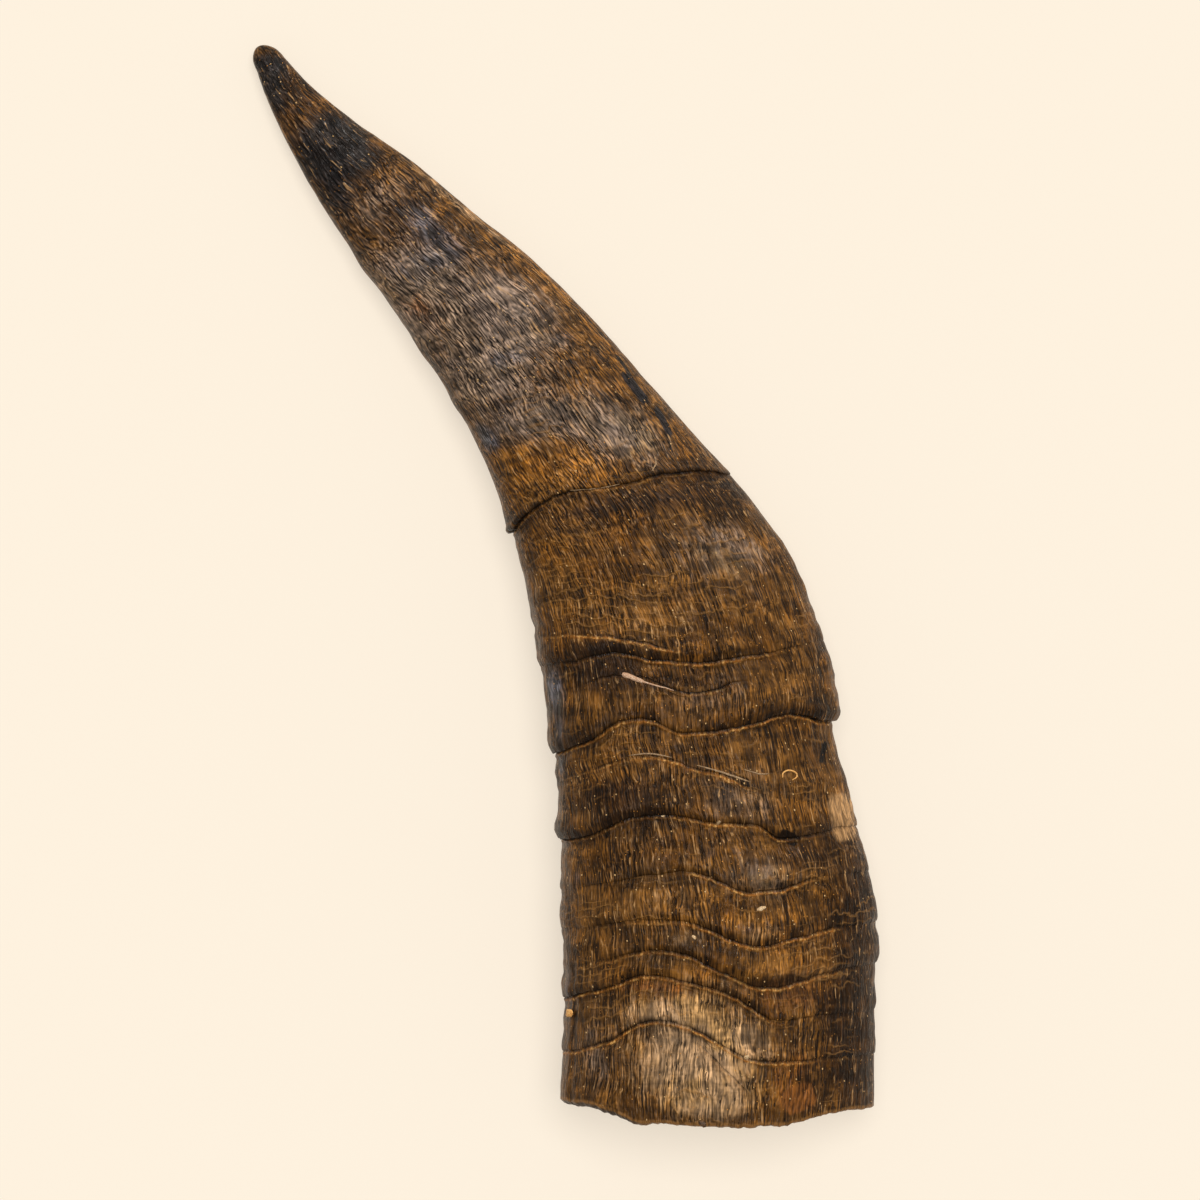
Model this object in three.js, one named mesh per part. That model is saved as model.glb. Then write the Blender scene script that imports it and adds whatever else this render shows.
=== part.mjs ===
import * as THREE from "three";

// A goat horn lying on its side: the hollow keratin sheath, curved and tapering from
// the open base to a blunt tip, with its raised growth ledges and its ragged rim.
// Millimetres, +Z up. The base opens to -Y, the tip points to +Y and leans to -X,
// and the horn rests on its flattened underside.

// Places on the horn are given by two numbers:
// along, the length from the base in mm, and across, from -1 at the rear edge,
// the hollow side of the curve, to 1 at the front edge, the bulging side.

// Sections through the horn: the rear and front edges in plan, the height of the
// crown, and the height of the underside. Where that is below zero the horn lies flat.
const SECTIONS = [
  { along: 0, rear: [-0.5, -103], front: [62, -104], top: 37, under: -0.3 },
  { along: 20.5, rear: [0.5, -83], front: [62, -83], top: 36.5, under: -0.3 },
  { along: 41, rear: [0, -63], front: [61.5, -62], top: 35.5, under: -0.3 },
  { along: 52.5, rear: [0, -52], front: [59, -50.5], top: 34.5, under: -0.3 },
  { along: 64, rear: [-0.5, -41.5], front: [56, -38.5], top: 33.5, under: -0.3 },
  { along: 74, rear: [-1.5, -33.5], front: [53.5, -26.5], top: 32.5, under: -0.3 },
  { along: 84, rear: [-3, -23], front: [53.5, -18], top: 31.5, under: -0.3 },
  { along: 96, rear: [-5, -11], front: [50, -6.5], top: 30, under: -0.3 },
  { along: 107, rear: [-7, -1], front: [46, 4.5], top: 28.5, under: -0.3 },
  { along: 119.5, rear: [-10, 10], front: [37.5, 17], top: 27, under: -0.2 },
  { along: 133, rear: [-13.5, 20.5], front: [27, 29], top: 24.5, under: -0.1 },
  { along: 146, rear: [-18.5, 31], front: [16.5, 41], top: 22.5, under: 0 },
  { along: 161, rear: [-25, 42], front: [6, 53], top: 19.5, under: 0.2 },
  { along: 176, rear: [-32.5, 53], front: [-6, 65], top: 17, under: 0.5 },
  { along: 190, rear: [-39.5, 63], front: [-19, 75.5], top: 14.5, under: 0.8 },
  { along: 204, rear: [-47, 74], front: [-31, 85.5], top: 12, under: 1.1 },
  { along: 217, rear: [-53.5, 85], front: [-42.5, 93.5], top: 10, under: 1.4 },
  { along: 229, rear: [-59.5, 97.5], front: [-52, 101.5], top: 8, under: 1.6 },
  { along: 236, rear: [-61.5, 103], front: [-56, 106], top: 7, under: 1.8 },
  { along: 242, rear: [-63, 107], front: [-59, 109], top: 6, under: 2 },
];

const LENGTH = 242.6; // from the base to the end of the tip
const TIP_CAP = 4; // length over which the tip rounds off
const BELLY = 0.44; // height of the widest line, as a share of the thickness
const TOP_FULLNESS = 2.3; // exponent of the upper half of a section, 2 for an ellipse
const UNDER_FULLNESS = 2.8; // the same for the flatter lower half
const KEEL = 0.3; // how much sharper the front edge is than the rear edge
const LEAN = 0.12; // how far the crown sits toward the rear, in half widths

// Growth ledges, each from the base toward the tip. The sheath stands out by the step,
// given in mm at the rear, the crown and the front, just above the line of its course.
// It rises over the length "rise" and dies away toward the tip over the length "fade".
// "rows" is how many rows of facets there are from it to the next ledge.
const LEDGES = [
  {
    name: "hairline ledge at the rim",
    course: [
      [-1, 10.7], [-0.8, 12.6], [-0.7, 13.8], [-0.6, 16], [-0.5, 17.6], [-0.35, 17.5],
      [-0.2, 16.4], [0, 13.2], [0.15, 10.8], [0.3, 9.7], [0.45, 9.7], [0.6, 10.2], [1, 10.5],
    ],
    step: [0.3, 0.4, 0.3],
    rise: 0.5,
    fade: 6,
    rows: 2,
  },
  {
    name: "first ledge",
    course: [
      [-1, 21.5], [-0.85, 23.4], [-0.7, 24.6], [-0.55, 26.4], [-0.4, 26.6], [-0.2, 25.3],
      [0, 23.5], [0.12, 22], [0.22, 19.8], [0.3, 18.3], [0.6, 18.5], [1, 19],
    ],
    step: [0.5, 0.9, 0.3],
    rise: 0.6,
    fade: 7,
    rows: 1,
  },
  {
    name: "lobed ledge",
    course: [
      [-1, 28], [-0.7, 30], [-0.45, 31.8], [-0.3, 31.5], [-0.2, 30.6], [-0.1, 29],
      [0, 27.4], [0.1, 26], [0.2, 24.8], [0.3, 24.2], [0.5, 25.3], [0.7, 26.9], [1, 28],
    ],
    step: [0.2, 1.1, 0.8],
    rise: 0.7,
    fade: 7,
    rows: 1,
  },
  {
    name: "second ledge",
    course: [
      [-1, 35.5], [-0.4, 37.6], [-0.2, 37], [-0.1, 36], [0, 34.5], [0.12, 33],
      [0.25, 32.4], [0.45, 33.5], [0.66, 35.1], [1, 36],
    ],
    step: [0.3, 0.9, 0.6],
    rise: 0.8,
    fade: 8,
    rows: 2,
  },
  {
    name: "third ledge",
    course: [
      [-1, 43.5], [-0.4, 46.6], [-0.15, 47.2], [-0.05, 46.2], [0.05, 44.7],
      [0.2, 43.1], [0.3, 43], [0.45, 43.8], [0.6, 45.2], [1, 46],
    ],
    step: [0.3, 0.7, 0.4],
    rise: 0.8,
    fade: 9,
    rows: 2,
  },
  {
    name: "fourth ledge",
    course: [
      [-1, 54], [-0.85, 54.9], [-0.7, 56.4], [-0.55, 58.2], [-0.4, 58.8], [-0.2, 58.6],
      [0, 57.2], [0.2, 56.5], [0.32, 56.2], [0.45, 53.6], [0.6, 53.4], [0.8, 54.6], [1, 55],
    ],
    step: [1, 0.7, 0.5],
    rise: 0.9,
    fade: 10,
    rows: 4,
  },
  {
    name: "knobbed ledge, which ends in the knob on the front edge",
    course: [
      [-1, 74], [-0.85, 75.2], [-0.7, 76.4], [-0.55, 78.4], [-0.3, 78.4], [-0.15, 75.8],
      [0.03, 74.6], [0.35, 75], [0.5, 75.4], [0.63, 76.2], [0.78, 75.6], [0.88, 74], [1, 73.2],
    ],
    step: [0.8, 0.8, 1.7],
    rise: 1.6,
    fade: 10,
    rows: 3,
  },
  {
    name: "dark ledge",
    course: [
      [-1, 90.5], [-0.63, 91.9], [-0.5, 92.3], [-0.38, 91.9], [-0.2, 90.3],
      [-0.05, 89.4], [0.2, 89], [0.45, 89.6], [0.65, 90], [1, 91.5],
    ],
    step: [0.4, 0.9, 0.3],
    rise: 0.8,
    fade: 9,
    rows: 6,
  },
  {
    name: "great ledge, right across the horn",
    course: [
      [-1, 120], [-0.86, 123], [-0.6, 126.2], [-0.4, 127.2], [-0.1, 126.6],
      [0.1, 126.5], [0.3, 127.1], [0.5, 127.3], [0.75, 126.8], [1, 125],
    ],
    step: [0.8, 0.9, 0.3],
    rise: 0.6,
    fade: 14,
    rows: 4,
  },
];
const UNDER_STEP = 0.6; // the ledges are weaker on the worn underside
const UNDER_BEND = 0.35; // and their courses straighter there

// Dents and swellings away from the ledges: where they are, how far they spread across
// and along in mm, and how far they stand out, or in where that is negative.
const SPOTS = [
  { name: "chip on the front edge", at: [0.91, 58], spread: [3.5, 4], out: -0.6 },
  { name: "crack under the knob", at: [0.83, 68], spread: [3, 3], out: -0.6 },
  { name: "pit at the fourth ledge", at: [0.48, 52.8], spread: [3, 2.2], out: -1 },
  { name: "hollow under the lobe", at: [0.25, 20], spread: [8, 2], out: -0.5 },
  { name: "swelling at the rim", at: [-0.2, 8], spread: [14, 7], out: 0.6 },
  { name: "swelling above the second ledge", at: [-0.1, 39], spread: [10, 3], out: 0.4 },
  { name: "swelling above the dark ledge", at: [0.3, 99], spread: [12, 6], out: 0.4 },
  { name: "first bump on the rear edge", at: [-1, 153], spread: [5, 3.5], out: 0.4 },
  { name: "second bump on the rear edge", at: [-1, 168], spread: [5, 3.5], out: 0.4 },
  { name: "third bump on the rear edge", at: [-1, 191], spread: [5, 4], out: 0.4 },
];

// The rim of the open base: its outer edge, and how far the inner edge is from it.
// The wall is broken off at a slant near the rear, so that its cut face shows from above.
const RIM = [
  [-1, 1], [-0.85, 1.2], [-0.76, 0.5], [-0.64, -0.7], [-0.53, -2.2], [-0.37, -2.3],
  [0, -2.7], [0.3, -2.5], [0.53, -1.8], [0.62, -0.9], [0.75, -0.2], [0.85, 0.3], [1, 0.2],
];
const LIP = [[-1, -1], [-0.85, -1.2], [-0.6, -1.1], [-0.45, -0.5], [0, -0.4], [1, -0.3]];

// The hollow, where the bony core sat: its length, and the wall left around it at the
// front and rear edges and over the broad faces. The core tapers faster than the horn.
const HOLLOW_LENGTH = 126;
const HOLLOW_CAP = 16; // length over which its end rounds off
const EDGE_WALL = [[-4, 1.4], [2, 1.8], [30, 3.2], [80, 8], [126, 14]];
const FACE_WALL = [[-4, 1.4], [2, 1.8], [30, 2.4], [80, 4], [126, 6]];

const COLUMNS = 60; // facets around the horn
const UPPER_SHARE = 0.6; // the share of them on its upper side
const RIM_ROWS = 3; // rows of facets from the rim to the first ledge

// Beyond the ledges the rows run straight across: from each of these places to the next
const STEADY = [
  { along: 146, rows: 6 },
  { along: 176, rows: 6 },
  { along: 204, rows: 5 },
  { along: 224, rows: 4 },
];
const CAP_ROWS = [0, 0.3, 0.56, 0.78, 0.93]; // as shares of the tip's cap
const HOLLOW_ROWS = [6, 16, 28, 40, 53, 66, 79, 91, 101, 110, 117, 122, 125];
const RIM_REACH = 30; // how far into the hollow its rows still follow the rim

// A smooth curve through points, carried on straight beyond its ends
function curve(points) {
  const last = points.length - 1;
  const width = [];
  const slope = [];
  for (let i = 0; i < last; i += 1) {
    width.push(points[i + 1][0] - points[i][0]);
    slope.push((points[i + 1][1] - points[i][1]) / width[i]);
  }
  const tangent = [slope[0]];
  for (let i = 1; i < last; i += 1) {
    tangent.push((slope[i - 1] * width[i] + slope[i] * width[i - 1]) / (width[i] + width[i - 1]));
  }
  tangent.push(slope[last - 1]);
  return (x) => {
    if (x <= points[0][0]) return points[0][1] + (x - points[0][0]) * tangent[0];
    if (x >= points[last][0]) return points[last][1] + (x - points[last][0]) * tangent[last];
    let i = 0;
    while (x > points[i + 1][0]) i += 1;
    const t = (x - points[i][0]) / width[i];
    const t2 = t * t;
    const t3 = t2 * t;
    return (
      (2 * t3 - 3 * t2 + 1) * points[i][1] +
      (t3 - 2 * t2 + t) * width[i] * tangent[i] +
      (3 * t2 - 2 * t3) * points[i + 1][1] +
      (t3 - t2) * width[i] * tangent[i + 1]
    );
  };
}

const alongCurve = (value) => curve(SECTIONS.map((s) => [s.along, value(s)]));
const rearX = alongCurve((s) => s.rear[0]);
const rearY = alongCurve((s) => s.rear[1]);
const frontX = alongCurve((s) => s.front[0]);
const frontY = alongCurve((s) => s.front[1]);
const topHeight = alongCurve((s) => s.top);
const underHeight = alongCurve((s) => s.under);
const edgeWall = curve(EDGE_WALL);
const faceWall = curve(FACE_WALL);
const lip = curve(LIP);

const smooth = (t) => t * t * (3 - 2 * t);
const clamp = (t) => Math.min(1, Math.max(0, t));
const signedPower = (v, p) => Math.sign(v) * Math.pow(Math.abs(v), p);

// Where a turn around the section lies: 0 at the front edge, 0.25 on the crown,
// 0.5 at the rear edge and 0.75 on the underside
function around(turn) {
  const c = Math.cos(2 * Math.PI * turn);
  const s = Math.sin(2 * Math.PI * turn);
  const above = turn % 1 <= 0.5;
  const power = 2 / ((above ? TOP_FULLNESS : UNDER_FULLNESS) - KEEL * c);
  const up = signedPower(s, power);
  return { c, s, above, up, across: signedPower(c, power) - LEAN * up * up };
}

// A line of the upper side carried around the underside, where it runs straighter
function courseAround(points) {
  const onTop = curve(points);
  const rearEnd = points[0][1];
  const frontEnd = points[points.length - 1][1];
  return (place) => {
    const along = onTop(place.across);
    if (place.above) return along;
    const straight = rearEnd + ((frontEnd - rearEnd) * (place.across + 1)) / 2;
    return straight + (along - straight) * UNDER_BEND;
  };
}

const rim = courseAround(RIM);
const ledges = LEDGES.map((ledge) => ({
  foot: courseAround(ledge.course),
  step: curve([[-1, ledge.step[0]], [0, ledge.step[1]], [1, ledge.step[2]]]),
  rise: ledge.rise,
  fade: ledge.fade,
  rows: ledge.rows,
}));

// How far the ledges, dents and swellings make the sheath stand out
function relief(along, place, half) {
  const shown = place.above ? 1 : Math.max(0, 1 + 2 * place.up);
  const worn = place.above ? 1 : Math.max(UNDER_STEP, 1 + place.up);
  let height = 0;
  for (const spot of SPOTS) {
    const across = ((place.across - spot.at[0]) * half) / spot.spread[0];
    const length = (along - spot.at[1]) / spot.spread[1];
    height += spot.out * Math.exp(-across * across - length * length) * shown;
  }
  for (const ledge of ledges) {
    const past = along - ledge.foot(place);
    const fading = Math.exp(-Math.max(past - ledge.rise, 0) / ledge.fade);
    height += ledge.step(place.across) * worn * smooth(clamp(past / ledge.rise)) * fading;
  }
  return height;
}

// A section of the horn in plan and in height
function section(along) {
  const rear = [rearX(along), rearY(along)];
  const front = [frontX(along), frontY(along)];
  const width = Math.hypot(front[0] - rear[0], front[1] - rear[1]);
  const top = topHeight(along);
  const under = underHeight(along);
  const belly = under + BELLY * (top - under);
  return {
    centre: [(rear[0] + front[0]) / 2, (rear[1] + front[1]) / 2],
    direction: [(front[0] - rear[0]) / width, (front[1] - rear[1]) / width],
    half: width / 2,
    belly,
    rise: top - belly,
    drop: belly - under,
  };
}

// A point of the outside
function outside(along, turn) {
  const place = around(turn);
  const cut = section(along);
  const end = clamp((along - (LENGTH - TIP_CAP)) / TIP_CAP);
  const round = Math.sqrt(1 - end * end);
  const flat = place.c / cut.half;
  const steep = (2 * place.s) / (cut.rise + cut.drop);
  const out = (relief(along, place, cut.half) * round) / Math.hypot(flat, steep);
  const reach = cut.half * place.across * round + flat * out;
  const height = (place.above ? cut.rise : cut.drop) * place.up * round + steep * out;
  return [
    cut.centre[0] + cut.direction[0] * reach,
    cut.centre[1] + cut.direction[1] * reach,
    Math.max(0, cut.belly + height),
  ];
}

// A point of the hollow
function inside(along, turn) {
  const place = around(turn);
  const cut = section(along);
  const end = clamp((along - (HOLLOW_LENGTH - HOLLOW_CAP)) / HOLLOW_CAP);
  const round = Math.sqrt(1 - end * end);
  const reach = (cut.half - edgeWall(along)) * place.across * round;
  const room = (place.above ? cut.rise : cut.drop) - faceWall(along);
  return [
    cut.centre[0] + cut.direction[0] * reach,
    cut.centre[1] + cut.direction[1] * reach,
    cut.belly + room * place.up * round,
  ];
}

// The rows of facets. Each is a line across the horn that follows the ledges: it gives
// the length along at a place around the section.
function outsideRows() {
  const lines = [{ at: rim, rows: RIM_ROWS }];
  for (const ledge of ledges) {
    lines.push({ at: ledge.foot, rows: 1 });
    lines.push({ at: (place) => ledge.foot(place) + ledge.rise, rows: ledge.rows });
  }
  for (const steady of STEADY) {
    lines.push({ at: () => steady.along, rows: steady.rows });
  }
  lines.push({ at: () => LENGTH - TIP_CAP, rows: 0 });
  const rows = [];
  for (let i = 0; i < lines.length - 1; i += 1) {
    for (let k = 0; k < lines[i].rows; k += 1) {
      const mix = k / lines[i].rows;
      rows.push((place) => lines[i].at(place) * (1 - mix) + lines[i + 1].at(place) * mix);
    }
  }
  for (const share of CAP_ROWS) {
    rows.push(() => LENGTH - TIP_CAP + TIP_CAP * share);
  }
  return rows;
}

function insideRows() {
  const rows = [(place) => rim(place) + lip(place.across)];
  for (const along of HOLLOW_ROWS) {
    rows.push((place) => along + rim(place) * clamp(1 - along / RIM_REACH));
  }
  return rows;
}

// The facets are closer together on the upper side than on the plain underside
function turnOf(share) {
  if (share > 0.9999) return 0;
  if (share < UPPER_SHARE) return (share / UPPER_SHARE) * 0.5;
  return 0.5 + ((share - UPPER_SHARE) / (1 - UPPER_SHARE)) * 0.5;
}

// A cup turned on a lathe, with a ring for each row: from the tip down the outside to
// the rim, and up the hollow to its end. Its radii don't matter, as its rings move.
function latheCup(outer, inner) {
  const points = [new THREE.Vector2(0, outer.length)];
  outer.forEach((row, i) => points.push(new THREE.Vector2(2, outer.length - 1 - i)));
  inner.forEach((row, i) => points.push(new THREE.Vector2(1, i)));
  points.push(new THREE.Vector2(0, inner.length));
  return new THREE.LatheGeometry(points, COLUMNS);
}

// The sheath is that cup, with its rings laid onto the rows
function hornGeometry() {
  const outer = outsideRows().reverse();
  const inner = insideRows();
  const lastRing = outer.length + inner.length + 1;
  const cup = latheCup(outer, inner);
  const position = cup.attributes.position;
  const uv = cup.attributes.uv;
  for (let i = 0; i < position.count; i += 1) {
    const ring = Math.round(uv.getY(i) * lastRing);
    const turn = turnOf(uv.getX(i));
    const place = around(turn);
    let p;
    if (ring === 0) {
      p = outside(LENGTH, 0);
    } else if (ring <= outer.length) {
      p = outside(outer[ring - 1](place), turn);
    } else if (ring < lastRing) {
      p = inside(inner[ring - 1 - outer.length](place), turn);
    } else {
      p = inside(HOLLOW_LENGTH, 0);
    }
    position.setXYZ(i, p[0], p[1], p[2]);
  }
  cup.deleteAttribute("uv");
  cup.deleteAttribute("normal");
  cup.computeBoundingBox();
  const box = cup.boundingBox;
  cup.translate(-(box.min.x + box.max.x) / 2, -(box.min.y + box.max.y) / 2, -box.min.z);
  cup.computeVertexNormals();
  return cup;
}

const keratin = new THREE.MeshStandardMaterial({ color: 0x54402c, roughness: 0.55, metalness: 0 });
keratin.name = "horn keratin";

const horn = new THREE.Mesh(hornGeometry(), keratin);
horn.name = "horn";

const part = new THREE.Group();
part.name = "goat_horn";
part.add(horn);

export default part;
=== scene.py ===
"""A goat horn lying on its side: the fine surface of its sheath, with the growth ledges, cracks,
fibres and stains, the ragged rim of the hollow base, and the flakes and straw caught on it."""

import math
from types import SimpleNamespace

import bmesh
import bpy
import numpy as np
from mathutils import Matrix, Vector
from mathutils.bvhtree import BVHTree


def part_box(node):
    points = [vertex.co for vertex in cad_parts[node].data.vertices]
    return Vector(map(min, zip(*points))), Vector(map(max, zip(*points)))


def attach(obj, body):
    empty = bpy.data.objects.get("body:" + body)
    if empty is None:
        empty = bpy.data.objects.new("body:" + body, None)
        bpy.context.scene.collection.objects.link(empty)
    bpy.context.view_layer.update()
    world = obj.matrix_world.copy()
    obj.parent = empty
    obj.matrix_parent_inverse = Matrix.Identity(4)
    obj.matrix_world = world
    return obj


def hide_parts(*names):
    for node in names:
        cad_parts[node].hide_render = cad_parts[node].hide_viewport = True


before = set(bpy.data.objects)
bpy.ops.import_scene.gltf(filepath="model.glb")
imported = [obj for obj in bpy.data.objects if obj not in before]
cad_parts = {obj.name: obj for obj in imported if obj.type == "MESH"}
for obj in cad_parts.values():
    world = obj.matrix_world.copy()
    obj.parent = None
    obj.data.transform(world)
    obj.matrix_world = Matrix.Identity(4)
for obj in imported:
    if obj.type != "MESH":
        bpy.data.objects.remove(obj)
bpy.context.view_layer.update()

MM = 0.001  # lengths below are in millimetres, and the finished meshes in metres

# Places on the horn are given by two numbers:
# along, the length from the base, and across, from -1 at the rear edge, the hollow side
# of the curve, to 1 at the front edge, the bulging side.

# Sections through the horn, as in the solid: the length along, the rear edge's x and y, the
# front edge's x and y, the height of the crown, and the height of the underside
SECTIONS = np.array([
    (0, -0.5, -103, 62, -104, 37, -0.3),
    (20.5, 0.5, -83, 62, -83, 36.5, -0.3),
    (41, 0, -63, 61.5, -62, 35.5, -0.3),
    (52.5, 0, -52, 59, -50.5, 34.5, -0.3),
    (64, -0.5, -41.5, 56, -38.5, 33.5, -0.3),
    (74, -1.5, -33.5, 53.5, -26.5, 32.5, -0.3),
    (84, -3, -23, 53.5, -18, 31.5, -0.3),
    (96, -5, -11, 50, -6.5, 30, -0.3),
    (107, -7, -1, 46, 4.5, 28.5, -0.3),
    (119.5, -10, 10, 37.5, 17, 27, -0.2),
    (133, -13.5, 20.5, 27, 29, 24.5, -0.1),
    (146, -18.5, 31, 16.5, 41, 22.5, 0),
    (161, -25, 42, 6, 53, 19.5, 0.2),
    (176, -32.5, 53, -6, 65, 17, 0.5),
    (190, -39.5, 63, -19, 75.5, 14.5, 0.8),
    (204, -47, 74, -31, 85.5, 12, 1.1),
    (217, -53.5, 85, -42.5, 93.5, 10, 1.4),
    (229, -59.5, 97.5, -52, 101.5, 8, 1.6),
    (236, -61.5, 103, -56, 106, 7, 1.8),
    (242, -63, 107, -59, 109, 6, 2),
])
LENGTH = 242.6  # from the base to the end of the tip
TIP_CAP = 4  # length over which the tip rounds off
BELLY = 0.44  # height of the widest line, as a share of the thickness
TOP_FULLNESS = 2.3  # exponent of the upper half of a section, 2 for an ellipse
UNDER_FULLNESS = 2.8  # the same for the flatter lower half
KEEL = 0.3  # how much sharper the front edge is than the rear edge
LEAN = 0.12  # how far the crown sits toward the rear, in half widths

# Growth ledges, each from the base toward the tip, on the same courses as in the solid. The
# sheath stands out by the step, at the rear, the crown and the front, just above the course.
# The cleft strength gives how deep and how dark the cleft under the ledge is, its darkness painted
# shade, and how strong the painted shade below the ledge is; amber gives how strongly the thin
# worn edge below it shows. These three are values by the place across.
LEDGES = [
    dict(
        name="hairline ledge at the rim", step=(0.3, 0.4, 0.3), rise=0.7, fade=6,
        course={
            -1: 10.7, -0.8: 12.6, -0.7: 13.8, -0.6: 16, -0.5: 17.6, -0.35: 17.5, -0.2: 16.4,
            0: 13.2, 0.15: 10.8, 0.3: 9.7, 0.45: 9.7, 0.6: 10.2, 1: 10.5,
        },
        cleft_and_shade={-1: 0.2, -0.6: 0.4, 0: 0.45, 0.35: 0.5, 0.6: 0.1, 1: 0},
        amber={-0.3: 0.9, 0.1: 0.9, 0.5: 0.8, 0.62: 0.1, 1: 0},
    ),
    dict(
        name="first ledge", step=(0.5, 0.9, 0.3), rise=1.6, fade=7,
        course={
            -1: 21.5, -0.85: 23.4, -0.7: 24.6, -0.55: 26.4, -0.4: 26.6, -0.2: 25.3, 0: 23.5,
            0.12: 22, 0.22: 19.8, 0.3: 18.3, 0.6: 18.5, 1: 19,
        },
        cleft_and_shade={
            -1: 0.5, -0.85: 0.8, -0.65: 0.8, -0.5: 0.3, -0.1: 0.35, 0.1: 0.7, 0.22: 0.6, 0.3: 0.1,
            1: 0,
        },
        amber={-1: 0.7, -0.6: 0.8, -0.2: 0.6, 0.2: 0.7, 0.33: 0.5, 0.45: 0},
    ),
    dict(
        name="lobed ledge", step=(0.2, 1.1, 0.8), rise=2.4, fade=7,
        course={
            -1: 28, -0.7: 30, -0.45: 31.8, -0.3: 31.5, -0.2: 30.6, -0.1: 29, 0: 27.4, 0.1: 26,
            0.2: 24.8, 0.3: 24.2, 0.5: 25.3, 0.7: 26.9, 1: 28,
        },
        cleft_and_shade={-1: 0, -0.5: 0.1, -0.25: 0.4, -0.1: 0.9, 0.3: 1, 0.4: 0.5, 0.7: 0.15, 1: 0},
        amber={-1: 0, -0.55: 0.4, -0.25: 0.6, 0: 0.5, 0.35: 1, 0.7: 0.6, 0.8: 0},
    ),
    dict(
        name="second ledge", step=(0.3, 0.9, 0.6), rise=2.2, fade=8,
        course={
            -1: 35.5, -0.4: 37.6, -0.2: 37, -0.1: 36, 0: 34.5, 0.12: 33, 0.25: 32.4, 0.45: 33.5,
            0.66: 35.1, 1: 36,
        },
        cleft_and_shade={-1: 0, -0.25: 0.1, -0.05: 0.5, 0.1: 0.9, 0.4: 0.8, 0.6: 0.35, 0.75: 0},
        amber={-1: 0, -0.3: 0.3, -0.05: 0.9, 0.4: 0.8, 0.7: 0.6, 0.8: 0},
    ),
    dict(
        name="third ledge", step=(0.3, 0.7, 0.4), rise=2, fade=9,
        course={
            -1: 43.5, -0.4: 46.6, -0.15: 47.2, -0.05: 46.2, 0.05: 44.7, 0.2: 43.1, 0.3: 43,
            0.45: 43.8, 0.6: 45.2, 1: 46,
        },
        cleft_and_shade={-1: 0.05, -0.15: 0.1, 0: 0.3, 0.2: 0.5, 0.45: 0.3, 0.65: 0},
        amber={-1: 0, -0.2: 0.1, -0.1: 0.8, 0.3: 0.9, 0.6: 0.7, 0.7: 0},
    ),
    dict(
        name="fourth ledge", step=(1, 0.7, 0.5), rise=2, fade=10,
        course={
            -1: 54, -0.85: 54.9, -0.7: 56.4, -0.55: 58.2, -0.4: 58.8, -0.2: 58.6, 0: 57.2,
            0.2: 56.5, 0.32: 56.2, 0.45: 53.6, 0.6: 53.4, 0.8: 54.6, 1: 55,
        },
        cleft_and_shade={-1: 0.9, -0.6: 1, -0.28: 0.9, -0.15: 0.3, 0.3: 0.25, 0.5: 0.7, 0.7: 0.4, 1: 0.1},
        amber={-1: 0.3, -0.3: 0.25, -0.15: 0.5, 0.1: 0.7, 0.35: 0.5, 0.6: 0.2, 1: 0},
    ),
    dict(
        name="knobbed ledge, which ends in the knob on the front edge",
        step=(0.8, 0.8, 1.7), rise=2.2, fade=10,
        course={
            -1: 74, -0.85: 75.2, -0.7: 76.4, -0.55: 78.4, -0.3: 78.4, -0.15: 75.8, 0.03: 74.6,
            0.35: 75, 0.5: 75.4, 0.63: 76.2, 0.78: 75.6, 0.88: 74, 1: 73.2,
        },
        cleft_and_shade={
            -0.65: 0.9, -0.55: 0.4, -0.3: 0.4, -0.1: 0.2, 0.05: 0.6, 0.2: 0.3, 0.35: 0.9, 0.75: 1,
            0.9: 0.5, 1: 0.4,
        },
        amber={
            -1: 0.5, -0.62: 0.7, -0.4: 0.9, -0.25: 0.8, -0.05: 0.5, 0.1: 0.7, 0.5: 0.9, 0.85: 0.6,
            1: 0,
        },
    ),
    dict(
        name="dark ledge", step=(0.4, 0.9, 0.3), rise=2, fade=9,
        course={
            -1: 90.5, -0.63: 91.9, -0.5: 92.3, -0.38: 91.9, -0.2: 90.3, -0.05: 89.4, 0.2: 89,
            0.45: 89.6, 0.65: 90, 1: 91.5,
        },
        cleft_and_shade={-1: 0.1, -0.65: 0.5, -0.45: 0.9, 0: 0.8, 0.2: 0.4, 0.5: 0.6, 0.7: 0.1, 1: 0},
        amber={-1: 0, -0.4: 0.3, -0.2: 0.8, 0.3: 0.7, 0.6: 0.3, 1: 0},
    ),
    dict(
        name="great ledge, right across the horn", step=(0.8, 0.9, 0.3), rise=0.7, fade=14,
        course={
            -1: 120, -0.86: 123, -0.6: 126.2, -0.4: 127.2, -0.1: 126.6, 0.1: 126.5, 0.3: 127.1,
            0.5: 127.3, 0.75: 126.8, 1: 125,
        },
        cleft_and_shade={-0.6: 0.7, -0.4: 0.5, 0: 0.3, 0.3: 0.5, 0.5: 0.8, 0.7: 0.4, 0.93: 0.3, 1: 0.1},
        amber={-1: 0.5, -0.6: 0.2, 0: 0.35, 0.5: 0.2, 1: 0},
    ),
]

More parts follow.
